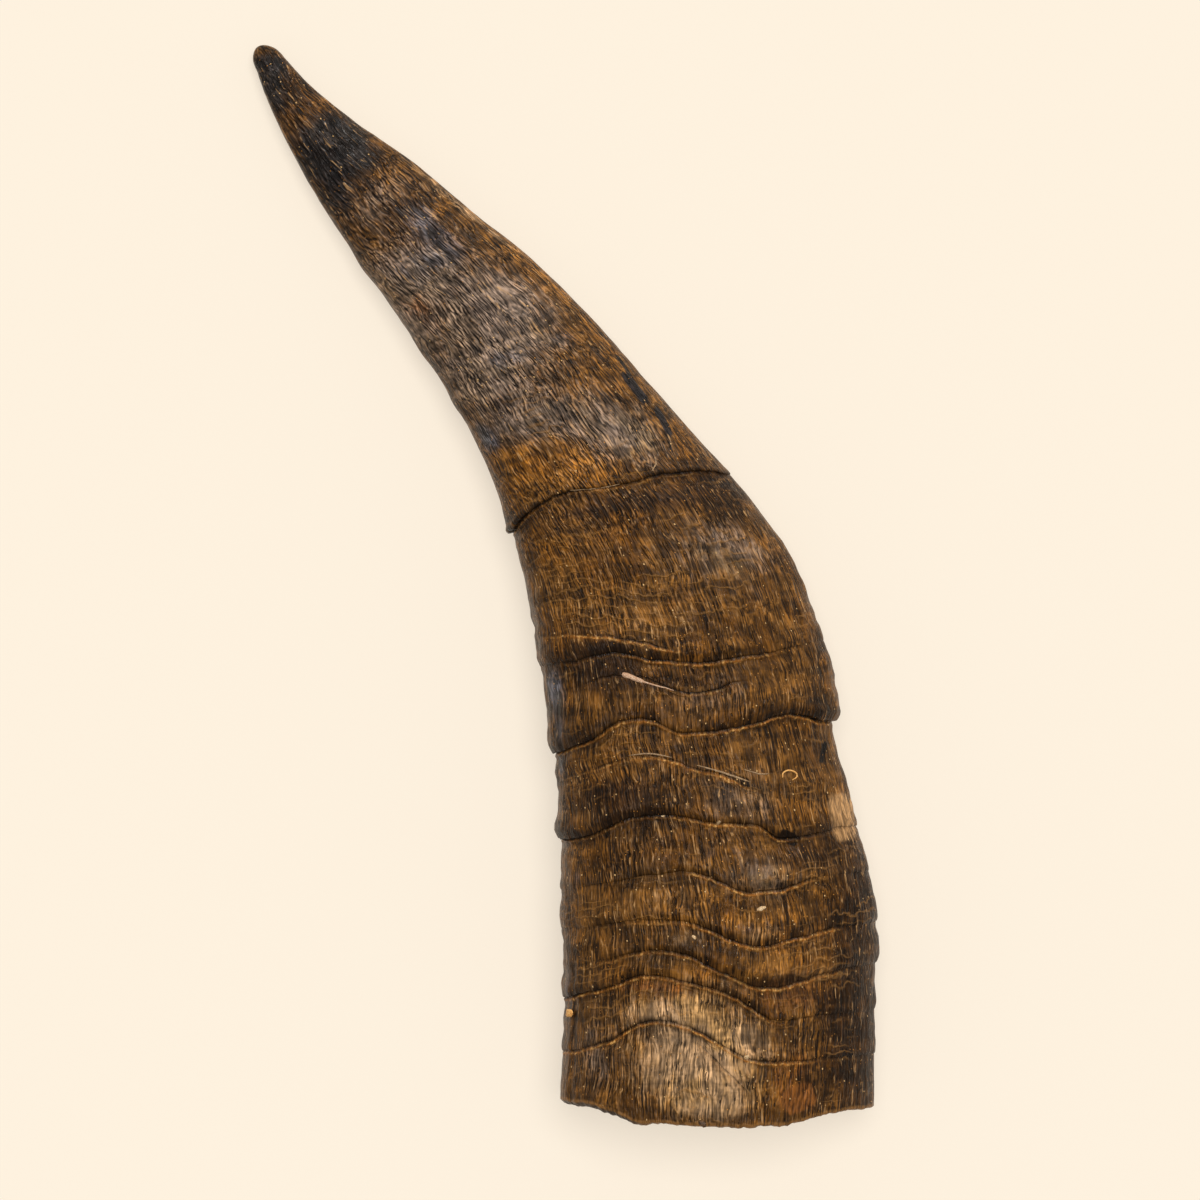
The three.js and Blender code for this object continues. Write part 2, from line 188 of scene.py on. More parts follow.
# Shallow cracks and growth lines between the ledges, finer than the solid has them
CRACKS = [
    dict(
        name="second hairline at the rim",
        course={-1: 5, -0.4: 14, -0.14: 13.2, 0.06: 7.4, 0.2: 3.5, 0.5: 3, 1: 4},
        cleft_and_shade={-0.2: 0, -0.1: 0.3, 0.12: 0.3, 0.2: 0},
        amber={-0.2: 0, -0.1: 0.3, 0.12: 0.3, 0.2: 0},
    ),
    dict(
        name="pale crack below the knobbed ledge",
        course={
            -1: 68, -0.5: 71, -0.3: 71.2, -0.05: 68.2, 0.2: 65.6, 0.35: 63.4, 0.6: 63.5, 1: 64.5,
        },
        cleft_and_shade={-1: 0, -0.5: 0.2, 0: 0.3, 0.3: 0.3, 0.4: 0},
        amber={-1: 0, -0.5: 0.7, 0: 0.8, 0.3: 0.8, 0.4: 0},
    ),
    dict(
        name="groove below the dark ledge",
        course={-1: 85, -0.3: 87, -0.08: 83.8, 0.14: 83.2, 0.32: 84.4, 0.6: 85.5, 1: 86},
        cleft_and_shade={-1: 0, -0.3: 0.5, 0: 0.9, 0.25: 0.7, 0.4: 0},
        amber={-1: 0, -0.2: 0.2, 0.1: 0.5, 0.4: 0},
    ),
    dict(
        name="amber crack above the dark ledge",
        course={-1: 97, -0.55: 96, -0.3: 94.4, -0.1: 92.4, 0.2: 91.8, 1: 95},
        cleft_and_shade={-1: 0, -0.6: 0.1, -0.3: 0.4, -0.1: 0.2, 0: 0},
        amber={-1: 0, -0.6: 0.9, -0.1: 0.9, 0: 0},
    ),
]

# The lengthwise seam beside the rear edge, at the base
SEAM_ACROSS = -0.94
SEAM_LENGTH = 32
SEAM_DEPTH = 0.35
SEAM_WIDTH = 0.4

UNDER_STEP = 0.6  # the ledges are weaker on the worn underside
UNDER_BEND = 0.35  # and their courses straighter there

# Dents and swellings away from the ledges: where they are, across and along, how far they
# spread, and how far they stand out, or in where that is negative
SPOTS = [
    dict(name="chip on the front edge", at=(0.91, 57), spread=(3.5, 4), out=-0.6),
    dict(name="crack under the knob", at=(0.9, 68.4), spread=(3, 3), out=-0.6),
    dict(name="pit at the fourth ledge", at=(0.48, 52.8), spread=(3, 2.2), out=-1),
    dict(name="hollow under the lobe", at=(0.25, 20), spread=(8, 2), out=-0.5),
    dict(name="swelling at the rim", at=(-0.2, 8), spread=(14, 7), out=0.6),
    dict(name="swelling above the second ledge", at=(-0.1, 39), spread=(10, 3), out=0.4),
    dict(name="swelling above the dark ledge", at=(0.3, 99), spread=(12, 6), out=0.4),
    dict(name="first bump on the rear edge", at=(-1, 153), spread=(5, 3.5), out=0.4),
    dict(name="second bump on the rear edge", at=(-1, 168), spread=(5, 3.5), out=0.4),
    dict(name="third bump on the rear edge", at=(-1, 191), spread=(5, 4), out=0.4),
]

# The rim of the open base: its outer edge, and how far the inner edge is from it. From the
# rear edge to where the cut wall ends, the wall's edge is dark.
RIM = {
    -1: 1, -0.85: 1.2, -0.76: 0.5, -0.64: -0.7, -0.53: -2.2, -0.37: -2.3, 0: -2.7, 0.3: -2.5,
    0.53: -1.8, 0.62: -0.9, 0.75: -0.2, 0.85: 0.3, 1: 0.2,
}
LIP = {-1: -1, -0.85: -1.2, -0.6: -1.1, -0.45: -0.5, 0: -0.4, 1: -0.3}

CUT_WALL_ENDS = -0.4
CUT_WALL_FADE = 0.2
BROKEN_WIDTH = 0.3  # of the broken line along the outer edge
WALL_BULGE = 0.25  # of the wall's broken edge, between its outer and its inner line
WALL_ROUGH = 0.2
WALL_GRAIN = 0.9

# The hollow, where the bony core sat: its length, and the wall around it by length
HOLLOW_LENGTH = 126
HOLLOW_CAP = 16
EDGE_WALL = {-4: 1.4, 2: 1.8, 30: 3.2, 80: 8, 126: 14}
FACE_WALL = {-4: 1.4, 2: 1.8, 30: 2.4, 80: 4, 126: 6}
RIM_REACH = 30  # how far into the hollow its rows still follow the rim

# How the surface is meshed: faces around the horn, the share of them on its upper side, and
# the rows, close together at the ledges and wider apart between them
COLUMNS = 250
UPPER_SHARE = 0.68
LEDGE_BELOW = (-1.9, -1.3, -0.95, -0.75, -0.6, -0.45, -0.3, -0.18, -0.08)
LEDGE_ABOVE = (0, 0.12, 0.28, 0.5, 0.8, 1.2, 1.8)
CRACK_BELOW = (-0.9, -0.6, -0.3, -0.12)
RIM_ABOVE = (0, 0.25, 0.6)
CRACK_ABOVE = (0, 0.15, 0.35, 0.7)
ROW_GAP = 1.05
TIP_ROW_GAP = 1.35
STEADY = (146, 176, 204)  # where the rows beyond the ledges run straight across
CAP_ROWS = (0, 0.2, 0.38, 0.54, 0.68, 0.79, 0.88, 0.94, 0.98)
LIP_ROWS = 3
HOLLOW_ROWS = (
    3, 7, 12, 18, 25, 33, 41, 50, 59, 68, 77, 86, 94, 101, 107, 112, 116, 119, 121.5, 123.5, 125,
)


# Shape


def curve(points):
    """A smooth curve through values by place, carried on straight beyond its ends"""
    x, y = np.array(list(points.items()), dtype=float).T
    width = np.diff(x)
    slope = np.diff(y) / width
    between = (slope[:-1] * width[1:] + slope[1:] * width[:-1]) / (width[1:] + width[:-1])
    tangent = np.concatenate(([slope[0]], between, [slope[-1]]))

    def value(where):
        where = np.asarray(where, dtype=float)
        i = np.clip(np.searchsorted(x, where) - 1, 0, len(width) - 1)
        t = (where - x[i]) / width[i]
        inside = (
            (2 * t**3 - 3 * t**2 + 1) * y[i]
            + (t**3 - 2 * t**2 + t) * width[i] * tangent[i]
            + (3 * t**2 - 2 * t**3) * y[i + 1]
            + (t**3 - t**2) * width[i] * tangent[i + 1]
        )
        before = y[0] + (where - x[0]) * tangent[0]
        after = y[-1] + (where - x[-1]) * tangent[-1]
        return np.where(where < x[0], before, np.where(where > x[-1], after, inside))

    return value


rear_x, rear_y, front_x, front_y, top_height, under_height = (
    curve(dict(zip(SECTIONS[:, 0], values))) for values in SECTIONS.T[1:]
)
edge_wall, face_wall, lip = curve(EDGE_WALL), curve(FACE_WALL), curve(LIP)


def smooth(t):
    t = np.clip(t, 0, 1)
    return t * t * (3 - 2 * t)


NOISE_GAIN = 1.6  # brings the noise to a reach of about -1 to 1


def noise(points, seed):
    """Smooth noise at points of any spacing: one bump is about 1 wide"""
    shape = points.shape[:-1]
    points = points.reshape(-1, 3)
    rng = np.random.default_rng(seed)
    order = rng.permutation(256)
    lean = rng.normal(size=(256, 3))
    lean /= np.linalg.norm(lean, axis=1)[:, None]
    cell = np.floor(points).astype(int)
    part = points - cell
    ease = part**3 * (part * (part * 6 - 15) + 10)
    total = np.zeros(len(points))
    for corner in np.ndindex(2, 2, 2):
        x, y, z = ((cell + corner) & 255).T
        which = order[(order[(order[x] + y) & 255] + z) & 255]
        weight = np.prod(np.where(corner, ease, 1 - ease), axis=1)
        total += weight * ((part - corner) * lean[which]).sum(axis=1)
    return (total * NOISE_GAIN).reshape(shape)


def around(turn):
    """Where a turn around the section lies: 0 at the front edge, 0.25 on the crown,
    0.5 at the rear edge and 0.75 on the underside"""
    c = np.cos(2 * np.pi * turn)
    s = np.sin(2 * np.pi * turn)
    above = turn % 1 <= 0.5
    power = 2 / (np.where(above, TOP_FULLNESS, UNDER_FULLNESS) - KEEL * c)
    up = np.sign(s) * np.abs(s) ** power
    across = np.sign(c) * np.abs(c) ** power - LEAN * up * up
    return SimpleNamespace(c=c, s=s, above=above, up=up, across=across)


def section(along):
    """The sections through the horn at these lengths, in plan and in height"""
    rear = np.stack([rear_x(along), rear_y(along)], axis=-1)
    front = np.stack([front_x(along), front_y(along)], axis=-1)
    width = np.linalg.norm(front - rear, axis=-1)
    top = top_height(along)
    under = under_height(along)
    belly = under + BELLY * (top - under)
    return SimpleNamespace(
        centre=(rear + front) / 2,
        direction=(front - rear) / width[..., None],
        half=width / 2,
        belly=belly,
        rise=top - belly,
        drop=belly - under,
    )


def course_around(points):
    """A line of the upper side carried around the underside, where it runs straighter"""
    on_top = curve(points)

    def value(place):
        along = on_top(place.across)
        straight = points[-1] + (points[1] - points[-1]) * (place.across + 1) / 2
        return np.where(place.above, along, straight + (along - straight) * UNDER_BEND)

    return value


def strength(points):
    """How strongly a line shows around the horn, half as strongly on the underside. The first
    and the last value hold as far as the edges."""
    x, y = list(points), list(points.values())
    return lambda place: np.interp(place.across, x, y) * np.where(place.above, 1, 0.5)


HALF_WIDTH = 30  # of the horn near its base, and half its thickness
HALF_THICK = 18
BEND_SIZE = 5  # of a slow bend in a line, and of the end of a fibre
FIBRE_END_SIZE = 1.1
LINE_WANDER = (0.35, 0.22)  # how far a line wanders in its bends and at its fibres' ends
RIM_WANDER = (0.2, 0.3)


def ragged(place, seed, wander):
    """A line's wander: slow bends, and the ends of single fibres"""
    away = np.full_like(place.up, seed)
    spot = np.stack([place.across * HALF_WIDTH, place.up * HALF_THICK, away], axis=-1)
    bends, ends = wander
    return bends * noise(spot / BEND_SIZE, seed) + ends * noise(spot / FIBRE_END_SIZE, seed + 1)


# A crack has no step: its rise says how far the shade reaches above it, and its fade nothing
CRACK_RISE = 0.5
CRACK_FADE = 5


def line_of(entry, number):
    """A ledge's or crack's line on the horn, as functions of the place around it"""
    course = course_around(entry["course"])
    return SimpleNamespace(
        foot=lambda place: course(place) + ragged(place, 10 * number, LINE_WANDER),
        ledge="step" in entry,
        step=curve(dict(zip((-1, 0, 1), entry.get("step", (0, 0, 0))))),
        rise=entry.get("rise", CRACK_RISE),
        fade=entry.get("fade", CRACK_FADE),
        cleft_and_shade=strength(entry["cleft_and_shade"]),
        amber=strength(entry["amber"]),
    )


# In order from the base, by where they cross the rear third of the upper side
ENTRIES = sorted(LEDGES + CRACKS, key=lambda entry: curve(entry["course"])(0.2))
LINES = [line_of(entry, number) for number, entry in enumerate(ENTRIES, start=1)]
rim = course_around(RIM)


def rim_foot(place):
    """The broken edge of the rim"""
    return rim(place) + ragged(place, 5, RIM_WANDER)


def outer_rows(place):
    """The length along of each row of the outside, from the rim to the tip, by column, and
    the lines that the rows follow"""
    feet = [rim_foot(place)]
    feet += [line.foot(place) for line in LINES]
    feet += [np.full_like(place.up, along) for along in (*STEADY, LENGTH - TIP_CAP)]
    plain = len(STEADY) + 1
    below = [()] + [LEDGE_BELOW if line.ledge else CRACK_BELOW for line in LINES] + [()] * plain
    above = [RIM_ABOVE] + [LEDGE_ABOVE if line.ledge else CRACK_ABOVE for line in LINES]
    above += [(0,)] * plain
    rows = []
    for i in range(len(feet) - 1):
        start, end = feet[i], feet[i + 1]
        after, before = above[i], below[i + 1]
        lead = before[0] if before else 0
        squeeze = np.minimum(1, (end - start) / (after[-1] - lead + 1))
        rows += [start + squeeze * offset for offset in after]
        low = start + squeeze * after[-1]
        high = end + squeeze * lead
        gap = ROW_GAP if i <= len(LINES) else TIP_ROW_GAP
        count = max(1, round(float(np.mean(high - low)) / gap))
        rows += [low + (high - low) * k / count for k in range(1, count)]
        rows += [end + squeeze * offset for offset in before]
    rows += [np.full_like(place.up, LENGTH - TIP_CAP + TIP_CAP * share) for share in CAP_ROWS]
    rows.append(np.full_like(place.up, LENGTH))
    return np.array(rows), np.array(feet)


def solid_relief(along, place, past):
    """How far the ledges, dents and swellings make the sheath stand out, nearly as in the
    solid, but with the ledges rounded over toward their feet. past is how far each point is
    beyond each line's foot."""
    half = section(along).half
    shown = np.where(place.above, 1, np.maximum(0, 1 + 2 * place.up))
    worn = np.where(place.above, 1, np.maximum(UNDER_STEP, 1 + place.up))
    height = np.zeros_like(along)
    for spot in SPOTS:
        across = (place.across - spot["at"][0]) * half / spot["spread"][0]
        length = (along - spot["at"][1]) / spot["spread"][1]
        height += spot["out"] * np.exp(-(across**2) - length**2) * shown
    for line, beyond in zip(LINES, past):
        short = 1 - np.clip(beyond / line.rise, 0, 1)
        fading = np.exp(-np.maximum(beyond - line.rise, 0) / line.fade)
        height += line.step(place.across) * worn * np.sqrt(1 - short**2) * fading
    return height


CLEFT_DEPTH = 0.5  # of the cleft under a ledge
CLEFT_WIDTH = 0.26
CLEFT_AT = -0.18  # from the ledge's foot
AMBER_RIDGE = 0.14  # how far the worn edge below a ledge stands out
AMBER_AT = -0.62
AMBER_WIDTH = 0.24
AMBER_WANDER = 0.22  # how far the worn edge wanders, and over what length
AMBER_BEND = 1.4
SHADE_REACH = 1.7  # how far the shade reaches below a ledge
SHADE_GAIN = 1.4
LOBE_SWELL = 0.42  # how far a lobe swells above its ledge, and dips below it
SWELL_AT, SWELL_WIDTH = 1.2, 0.9  # in rises of the ledge
DIP_AT, DIP_WIDTH = -1.6, 1
OVERHANG = 0.35  # how far a ledge's edge leans out over its cleft
UNDERCUT_AT, UNDERCUT_WIDTH = -0.15, 0.22
EDGE_AT, EDGE_WIDTH = 0.3, 0.25

# Uneven growth, coarse and fine, wrinkles across the horn, and flutes along it: how far they
# stand out, how wide and how long their bumps are, and their seeds
BUMPS = (0.34, 9, 6, 101)
FINE_BUMPS = (0.2, 3.5, 2.6, 102)
WRINKLES = (0.24, 14, 2.6, 103)
FLUTES = (0.08, 1.7, 45, 104)
ROUGH_FROM, ROUGH_TO, ROUGH_FADE = 8, 118, 15  # the uneven length of the horn
LEAST_ROUGH = 0.3  # how uneven it is beyond that
SEAM_FADE = 6


def bell(distance, width):
    return np.exp(-((distance / width) ** 2))


def fine_relief(along, place, past, grown, ring):
    """What the solid leaves out: clefts and worn edges at the ledges, the uneven swelling of the
    growth, transverse wrinkles and lengthwise flutes"""
    height = np.zeros_like(along)
    for line, beyond in zip(LINES, past):
        height -= CLEFT_DEPTH * line.cleft_and_shade(place) * bell(beyond - CLEFT_AT, CLEFT_WIDTH)
        height += AMBER_RIDGE * line.amber(place) * bell(beyond - AMBER_AT, AMBER_WIDTH)
        if line.ledge:
            swell = bell(beyond - SWELL_AT * line.rise, SWELL_WIDTH * line.rise)
            dip = bell(beyond - DIP_AT, DIP_WIDTH)
            height += LOBE_SWELL * line.cleft_and_shade(place) * (swell - dip)
    uneven = smooth((along - ROUGH_FROM) / ROUGH_FADE) * smooth((ROUGH_TO - along) / ROUGH_FADE)
    rough = LEAST_ROUGH + (1 - LEAST_ROUGH) * uneven
    in_step = np.stack([grown[..., 0], grown[..., 1], ring], axis=-1)
    layers = ((rough, grown, BUMPS), (rough, grown, FINE_BUMPS), (rough, in_step, WRINKLES))
    for amount, where, (out, wide, long, seed) in (*layers, (1, grown, FLUTES)):
        height += out * amount * noise(where / (wide, wide, long), seed)
    seam = (place.across - SEAM_ACROSS) * section(along).half
    length = smooth((SEAM_LENGTH - along) / SEAM_FADE) * place.above
    height -= SEAM_DEPTH * bell(seam, SEAM_WIDTH) * length
    return height


def overhang(place, past):
    """How far toward the tip a point near a ledge's foot is moved: the cleft runs in under the
    ledge, and the ledge's edge leans out over it"""
    slide = np.zeros_like(past[0])
    for line, beyond in zip(LINES, past):
        undercut = bell(beyond - UNDERCUT_AT, UNDERCUT_WIDTH)
        slide += OVERHANG * line.cleft_and_shade(place) * (undercut - bell(beyond - EDGE_AT, EDGE_WIDTH))
    return slide


def outside(along, place, out):
    """Points of the outside, standing out from the plain section by out"""
    cut = section(along)
    end = np.clip((along - (LENGTH - TIP_CAP)) / TIP_CAP, 0, 1)
    round_off = np.sqrt(1 - end * end)
    flat = place.c / cut.half
    steep = 2 * place.s / (cut.rise + cut.drop)
    push = out * round_off / np.hypot(flat, steep)
    reach = cut.half * place.across * round_off + flat * push
    height = np.where(place.above, cut.rise, cut.drop) * place.up * round_off + steep * push
    flat_place = cut.centre + cut.direction * reach[..., None]
    return np.concatenate([flat_place, np.maximum(0, cut.belly + height)[..., None]], axis=-1)


def inside(along, place):
    """Points of the hollow"""
    cut = section(along)
    end = np.clip((along - (HOLLOW_LENGTH - HOLLOW_CAP)) / HOLLOW_CAP, 0, 1)
    round_off = np.sqrt(1 - end * end)
    reach = (cut.half - edge_wall(along)) * place.across * round_off
    room = np.where(place.above, cut.rise, cut.drop) - face_wall(along)
    flat_place = cut.centre + cut.direction * reach[..., None]
    height = cut.belly + room * place.up * round_off
    return np.concatenate([flat_place, height[..., None]], axis=-1)


def grown_place(along, place):
    """Places on the horn as if it had grown straight, for patterns that follow its length"""
    cut = section(along)
    thick = np.where(place.above, cut.rise, cut.drop)
    return np.stack([cut.half * place.across, thick * place.up, along], axis=-1)


def column_turns():
    """The turn of each column, closer together on the upper side"""
    share = np.linspace(0, 1, COLUMNS + 1)
    upper = share / UPPER_SHARE * 0.5
    lower = 0.5 + (share - UPPER_SHARE) / (1 - UPPER_SHARE) * 0.5
    turn = np.where(share < UPPER_SHARE, upper, lower)
    turn[-1] = 0
    return turn


# Stains


# What colours the horn, as sRGB out of 255, some of it painted sheen and highlight, and the places
# where each shows: across and along, how far it spreads in mm across and along, and how strong it
# is
PIGMENTS_AND_PAINTED_LIGHT = dict(
    gold_and_lit_edge=dict(
        colour=(116, 76, 29),
        at=[
            (-0.55, 134, 13, 8, 0.8), (-0.3, 112, 20, 8, 0.5), (-0.3, 99, 10, 4, 0.7),
            (-0.1, 27, 14, 3, 0.9), (-0.1, 40, 14, 5, 0.6), (0.6, 27, 9, 4, 0.8),
            (0.3, 34.5, 9, 3.5, 0.9), (0.1, 76, 14, 6, 0.4), (0.05, 130, 10, 5, 0.4),
            (-0.6, 60, 8, 5, 0.3), (0, 90, 8, 2, 0.6), (-0.9, 44, 5, 5, 0.4),
            # The first of these is a painted lit band along the front edge
            (0.95, 175, 4, 26, 0.7), (0.55, 18, 8, 4, 0.4),
        ],
    ),
    # Grey patches, partly painted grey sheen
    ash_and_sheen=dict(
        colour=(106, 89, 76),
        at=[
            (-0.25, 170, 13, 28, 0.45), (0, 200, 9, 6, 0.5),
            (0.1, 168, 12, 12, 0.8), (-0.6, 156, 8, 9, 0.9), (0.4, 137, 9, 8, 0.8),
            (-0.35, 184, 8, 7, 0.7), (0.55, 110, 13, 9, 0.6), (0.25, 62, 12, 7, 0.5),
            (0.3, 46, 9, 5, 0.6), (-0.8, 10, 7, 10, 0.5), (0.1, 82, 14, 5, 0.4),
            (-0.4, 144, 12, 5, 0.7), (-0.9, 178, 4, 14, 0.8),
        ],
    ),
    pale=dict(
        colour=(156, 124, 90),
        at=[
            # The first two of these are a painted highlight on the swelling at the rim
            (-0.15, 8, 13, 6, 0.9), (-0.05, 1.5, 9, 4, 0.8), (-0.35, 20, 12, 3, 0.6),
            (-0.1, 15, 14, 5, 0.8), (-0.1, 25, 13, 3, 0.35), (0.6, 27, 8, 3, 0.4),
            (0.3, 34.5, 8, 3, 0.45),
            (-0.3, 34, 8, 3, 0.4), (-0.3, 42, 8, 4, 0.3), (0.3, 42, 7, 3, 0.3),
            (-0.3, 98, 8, 3, 0.3), (0.3, 136, 7, 5, 0.3), (-0.93, 184, 3, 12, 0.5),
            (0.93, 190, 2, 16, 0.6),
        ],
    ),
    rust=dict(
        colour=(110, 68, 32),
        at=[
            (0.45, 23, 9, 5, 0.6), (0.45, 8, 8, 5, 0.5), (0.5, 2, 5, 3, 0.6),
            (-0.35, 24.5, 14, 2, 0.6), (0.9, 155, 3, 8, 0.3),
            (0.2, 152, 8, 5, 0.25), (0.3, 226, 2.5, 7, 0.4),
            (-0.6, 150, 5, 5, 0.3), (-0.7, 176, 4, 6, 0.5), (0.5, 34, 9, 3, 0.4),
        ],
    ),
    umber=dict(
        colour=(50, 31, 13),
        at=[
            (-0.6, 91, 11, 7, 0.9), (-0.6, 62, 14, 7, 0.9), (0, 86, 11, 2, 0.7),
            (0.92, 24, 8, 30, 1), (0.95, 26, 9, 24, 1), (0.8, 16, 8, 14, 0.7),
            (-0.6, 34, 9, 4, 0.4),
            (0, 122, 22, 3.5, 0.7), (0.85, 122, 10, 10, 0.7), (0.1, 196, 6, 7, 0.6),
            (0.85, 76, 6, 8, 0.5), (0.95, 90, 6, 8, 0.5), (-0.9, 120, 6, 10, 0.4),
            (0.2, 70, 12, 3, 0.4), (-0.8, 46, 6, 5, 0.4), (0.3, 187, 4, 8, 0.4),
            (-0.4, 51, 12, 4, 0.5), (0.6, 50, 7, 4, 0.6), (0.6, 144, 4, 8, 0.5),
            (-0.3, 79, 8, 5, 0.5), (0, 232, 8, 12, 0.7), (0.4, 214, 8, 10, 0.7),
        ],
    ),
    # Painted bluish-grey sheen, on the rear edge, on lobes and toward the tip
    slate_sheen=dict(
        colour=(82, 80, 86),
        at=[
            (-0.94, 86, 4, 5, 0.9), (-0.97, 71, 2.5, 2.5, 0.9), (-0.93, 78, 2.5, 3, 0.6),
            (-0.9, 55, 2.5, 2, 0.5), (-0.9, 46, 3, 4, 0.3),
            (-0.5, 212, 1.6, 5, 0.9), (0.25, 192, 4, 6, 0.6), (0.15, 184, 5, 4, 0.5),
            (0.2, 36, 9, 1.6, 0.4), (-0.97, 24, 2, 8, 0.5), (0, 51, 10, 2, 0.3),
            (0.55, 136, 8, 7, 0.3), (-0.5, 184, 6, 5, 0.4), (-0.87, 143, 3, 4, 0.9),
            (-0.2, 159, 6, 3, 0.5), (0.5, 159, 4, 3, 0.4),
        ],
    ),
    soot=dict(
        colour=(37, 32, 30),
        at=[
            (-0.2, 214, 7, 7, 1), (-0.65, 231, 2, 8, 1), (0.35, 213, 4, 6, 0.9),
            (-0.6, 205, 5, 6, 0.7), (-0.9, 196, 2, 10, 0.4), (0, 235, 5, 5, 0.8),
            (-0.97, 40, 2, 14, 0.4), (0.65, 132, 4, 4, 0.5), (0.1, 216, 7, 4, 0.8),
            (0.75, 153, 1.5, 4, 0.6),
        ],
    ),
)
BARK = (90, 59, 23)  # the plain horn between the stains

# Where the fine growth lines across the horn show best, given in the same way
LINED = [
    (-0.35, 104, 14, 5, 1), (-0.3, 98, 10, 3, 0.9), (0.45, 104, 9, 5, 0.6), (0.62, 27, 5, 8, 0.8),
    (-0.7, 27, 8, 4, 0.7), (-0.75, 42, 6, 4, 0.6), (-0.8, 112, 6, 6, 0.6), (0.7, 8, 6, 5, 0.5),
]


def top_turn(across):
    """The turn around the section at which the upper side has this place across, found to a
    thousandth of a turn, from close to the rear edge to the front edge"""
    turns = np.linspace(0.49, 0, 491)
    return np.interp(across, around(turns).across, turns)


def stain(along, place, spots):
    """How strongly a pigment shows at each point of the outside"""
    cut = section(along)
    thick = np.where(place.above, cut.rise, cut.drop)
    left = np.ones_like(along)
    for across, at, spread_across, spread_along, amount in spots:
        centre = around(np.array([top_turn(across)]))
        sideways = (place.across - centre.across) * cut.half
        upward = place.up * thick - centre.up * cut.rise
        away = (sideways**2 + upward**2) / spread_across**2
        away += ((along - at) / spread_along) ** 2
        left *= 1 - amount * np.exp(-away)
    return 1 - left


# Meshes


def finished(name, bm, materials):
    """A mesh object made of the bmesh, riding on the horn's body"""
    mesh = bpy.data.meshes.new(name)
    bm.to_mesh(mesh)
    bm.free()
    for material in materials:
        mesh.materials.append(material)
    mesh.polygons.foreach_set("use_smooth", [True] * len(mesh.polygons))
    piece = bpy.data.objects.new(name, mesh)
    bpy.context.scene.collection.objects.link(piece)
    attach(piece, "root")
    return piece


def lay_attribute(mesh, name, values):
    """A value, or a vector, at each corner of the mesh"""
    values = np.asarray(values, dtype=np.float32)
    kind, field = ("FLOAT_VECTOR", "vector") if values.ndim == 2 else ("FLOAT", "value")
    attribute = mesh.attributes.new(name, kind, "POINT")
    attribute.data.foreach_set(field, values.ravel())


def make_horn(materials):
    """The whole sheath as one closed surface: the outside from the tip to the rim, the wall's
    broken edge, and the hollow to its end"""
    place = around(column_turns())
    rows, feet = outer_rows(place)
    past = rows - feet[1 : len(LINES) + 1, None]
    levels = feet.mean(axis=1)
    ring = [np.interp(*column, levels) for column in zip(rows.T, feet.T)]
    ring = np.stack(ring, axis=1)
    grown = grown_place(rows, place)
    base = solid_relief(rows, place, past)
    shift = solid_shift(outside(rows, place, base))
    relief = base + fine_relief(rows, place, past, grown, ring)
    skin = outside(rows + overhang(place, past), place, relief)

    edge = rim_foot(place)
    depths = [edge + lip(place.across)]
    depths += [depth + edge * max(0, 1 - depth / RIM_REACH) for depth in HOLLOW_ROWS]
    depths.append(np.full_like(edge, HOLLOW_LENGTH))
    depths = np.array(depths)
    hollow = inside(depths, place)

    share = np.arange(1, LIP_ROWS + 1)[:, None, None] / (LIP_ROWS + 1)
    wall = skin[0] * (1 - share) + hollow[0] * share
    bulge = WALL_BULGE * np.sin(np.pi * share[..., 0])
    wall[..., 1] -= bulge + WALL_ROUGH * noise(wall / WALL_GRAIN, 40)

    # From the tip down the outside, over the wall and up the hollow
    def joined(on_skin, on_wall=0, in_hollow=0):
        wall_values = np.broadcast_to(on_wall, (LIP_ROWS, *on_skin.shape[1:]))
        hollow_values = np.broadcast_to(in_hollow, (len(depths), *on_skin.shape[1:]))
        return np.concatenate([on_skin[::-1], wall_values, hollow_values])

    cleft_and_shade, shade, amber = line_masks(place, past, grown)
    values = dict(
        grown=joined(grown, grown[0], grown_place(depths, place)),
        ring=joined(ring, 0, depths),
        cleft_and_shade=joined(cleft_and_shade),
        shade=joined(shade),
        amber=joined(amber),
        broken=joined(bell(rows - edge, BROKEN_WIDTH), 1),
        cut=joined(np.zeros_like(rows), smooth((CUT_WALL_ENDS - place.across) / CUT_WALL_FADE)),
        lined=joined(stain(rows, place, LINED)),
    )
    for pigment, entry in PIGMENTS_AND_PAINTED_LIGHT.items():
        values[pigment] = joined(stain(rows, place, entry["at"]))
    points = (joined(skin, wall, hollow) + shift) * MM
    hollow_row = len(rows) + LIP_ROWS
    horn = laid_grid("horn_surface", points, values, materials, hollow_row)
    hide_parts("horn")
    return horn, shift


def solid_shift(points):
    """From the horn's own measures to the frame's: the solid sits centred on its own box"""
    middle = (points.min(axis=(0, 1)) + points.max(axis=(0, 1))) / 2
    low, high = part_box("horn")
    return np.array([(low[i] + high[i]) / 2 / MM - middle[i] for i in (0, 1)] + [0])


def line_masks(place, past, grown):
    """Where the lines show on the outside: the clefts, painted black as shade in them, the painted
    shade below the ledges and the thin worn edges, which wander a little"""
    wander = AMBER_WANDER * noise(grown / AMBER_BEND, 77)
    cleft_and_shade, shade, amber = np.zeros((3, *past[0].shape))
    for line, beyond in zip(LINES, past):
        dark = line.cleft_and_shade(place)
        cleft_and_shade = np.maximum(cleft_and_shade, dark * bell(beyond - CLEFT_AT, CLEFT_WIDTH))
        below = bell(np.minimum(beyond, 0), SHADE_REACH) * bell(np.maximum(beyond, 0), line.rise)
        shade = np.maximum(shade, np.minimum(1, SHADE_GAIN * dark) * below)
        worn = bell(beyond - AMBER_AT - wander, AMBER_WIDTH)
        amber = np.maximum(amber, line.amber(place) * worn)
    return cleft_and_shade, shade, amber


WELD = 1e-7  # metres: how close the seam's and the poles' corners lie


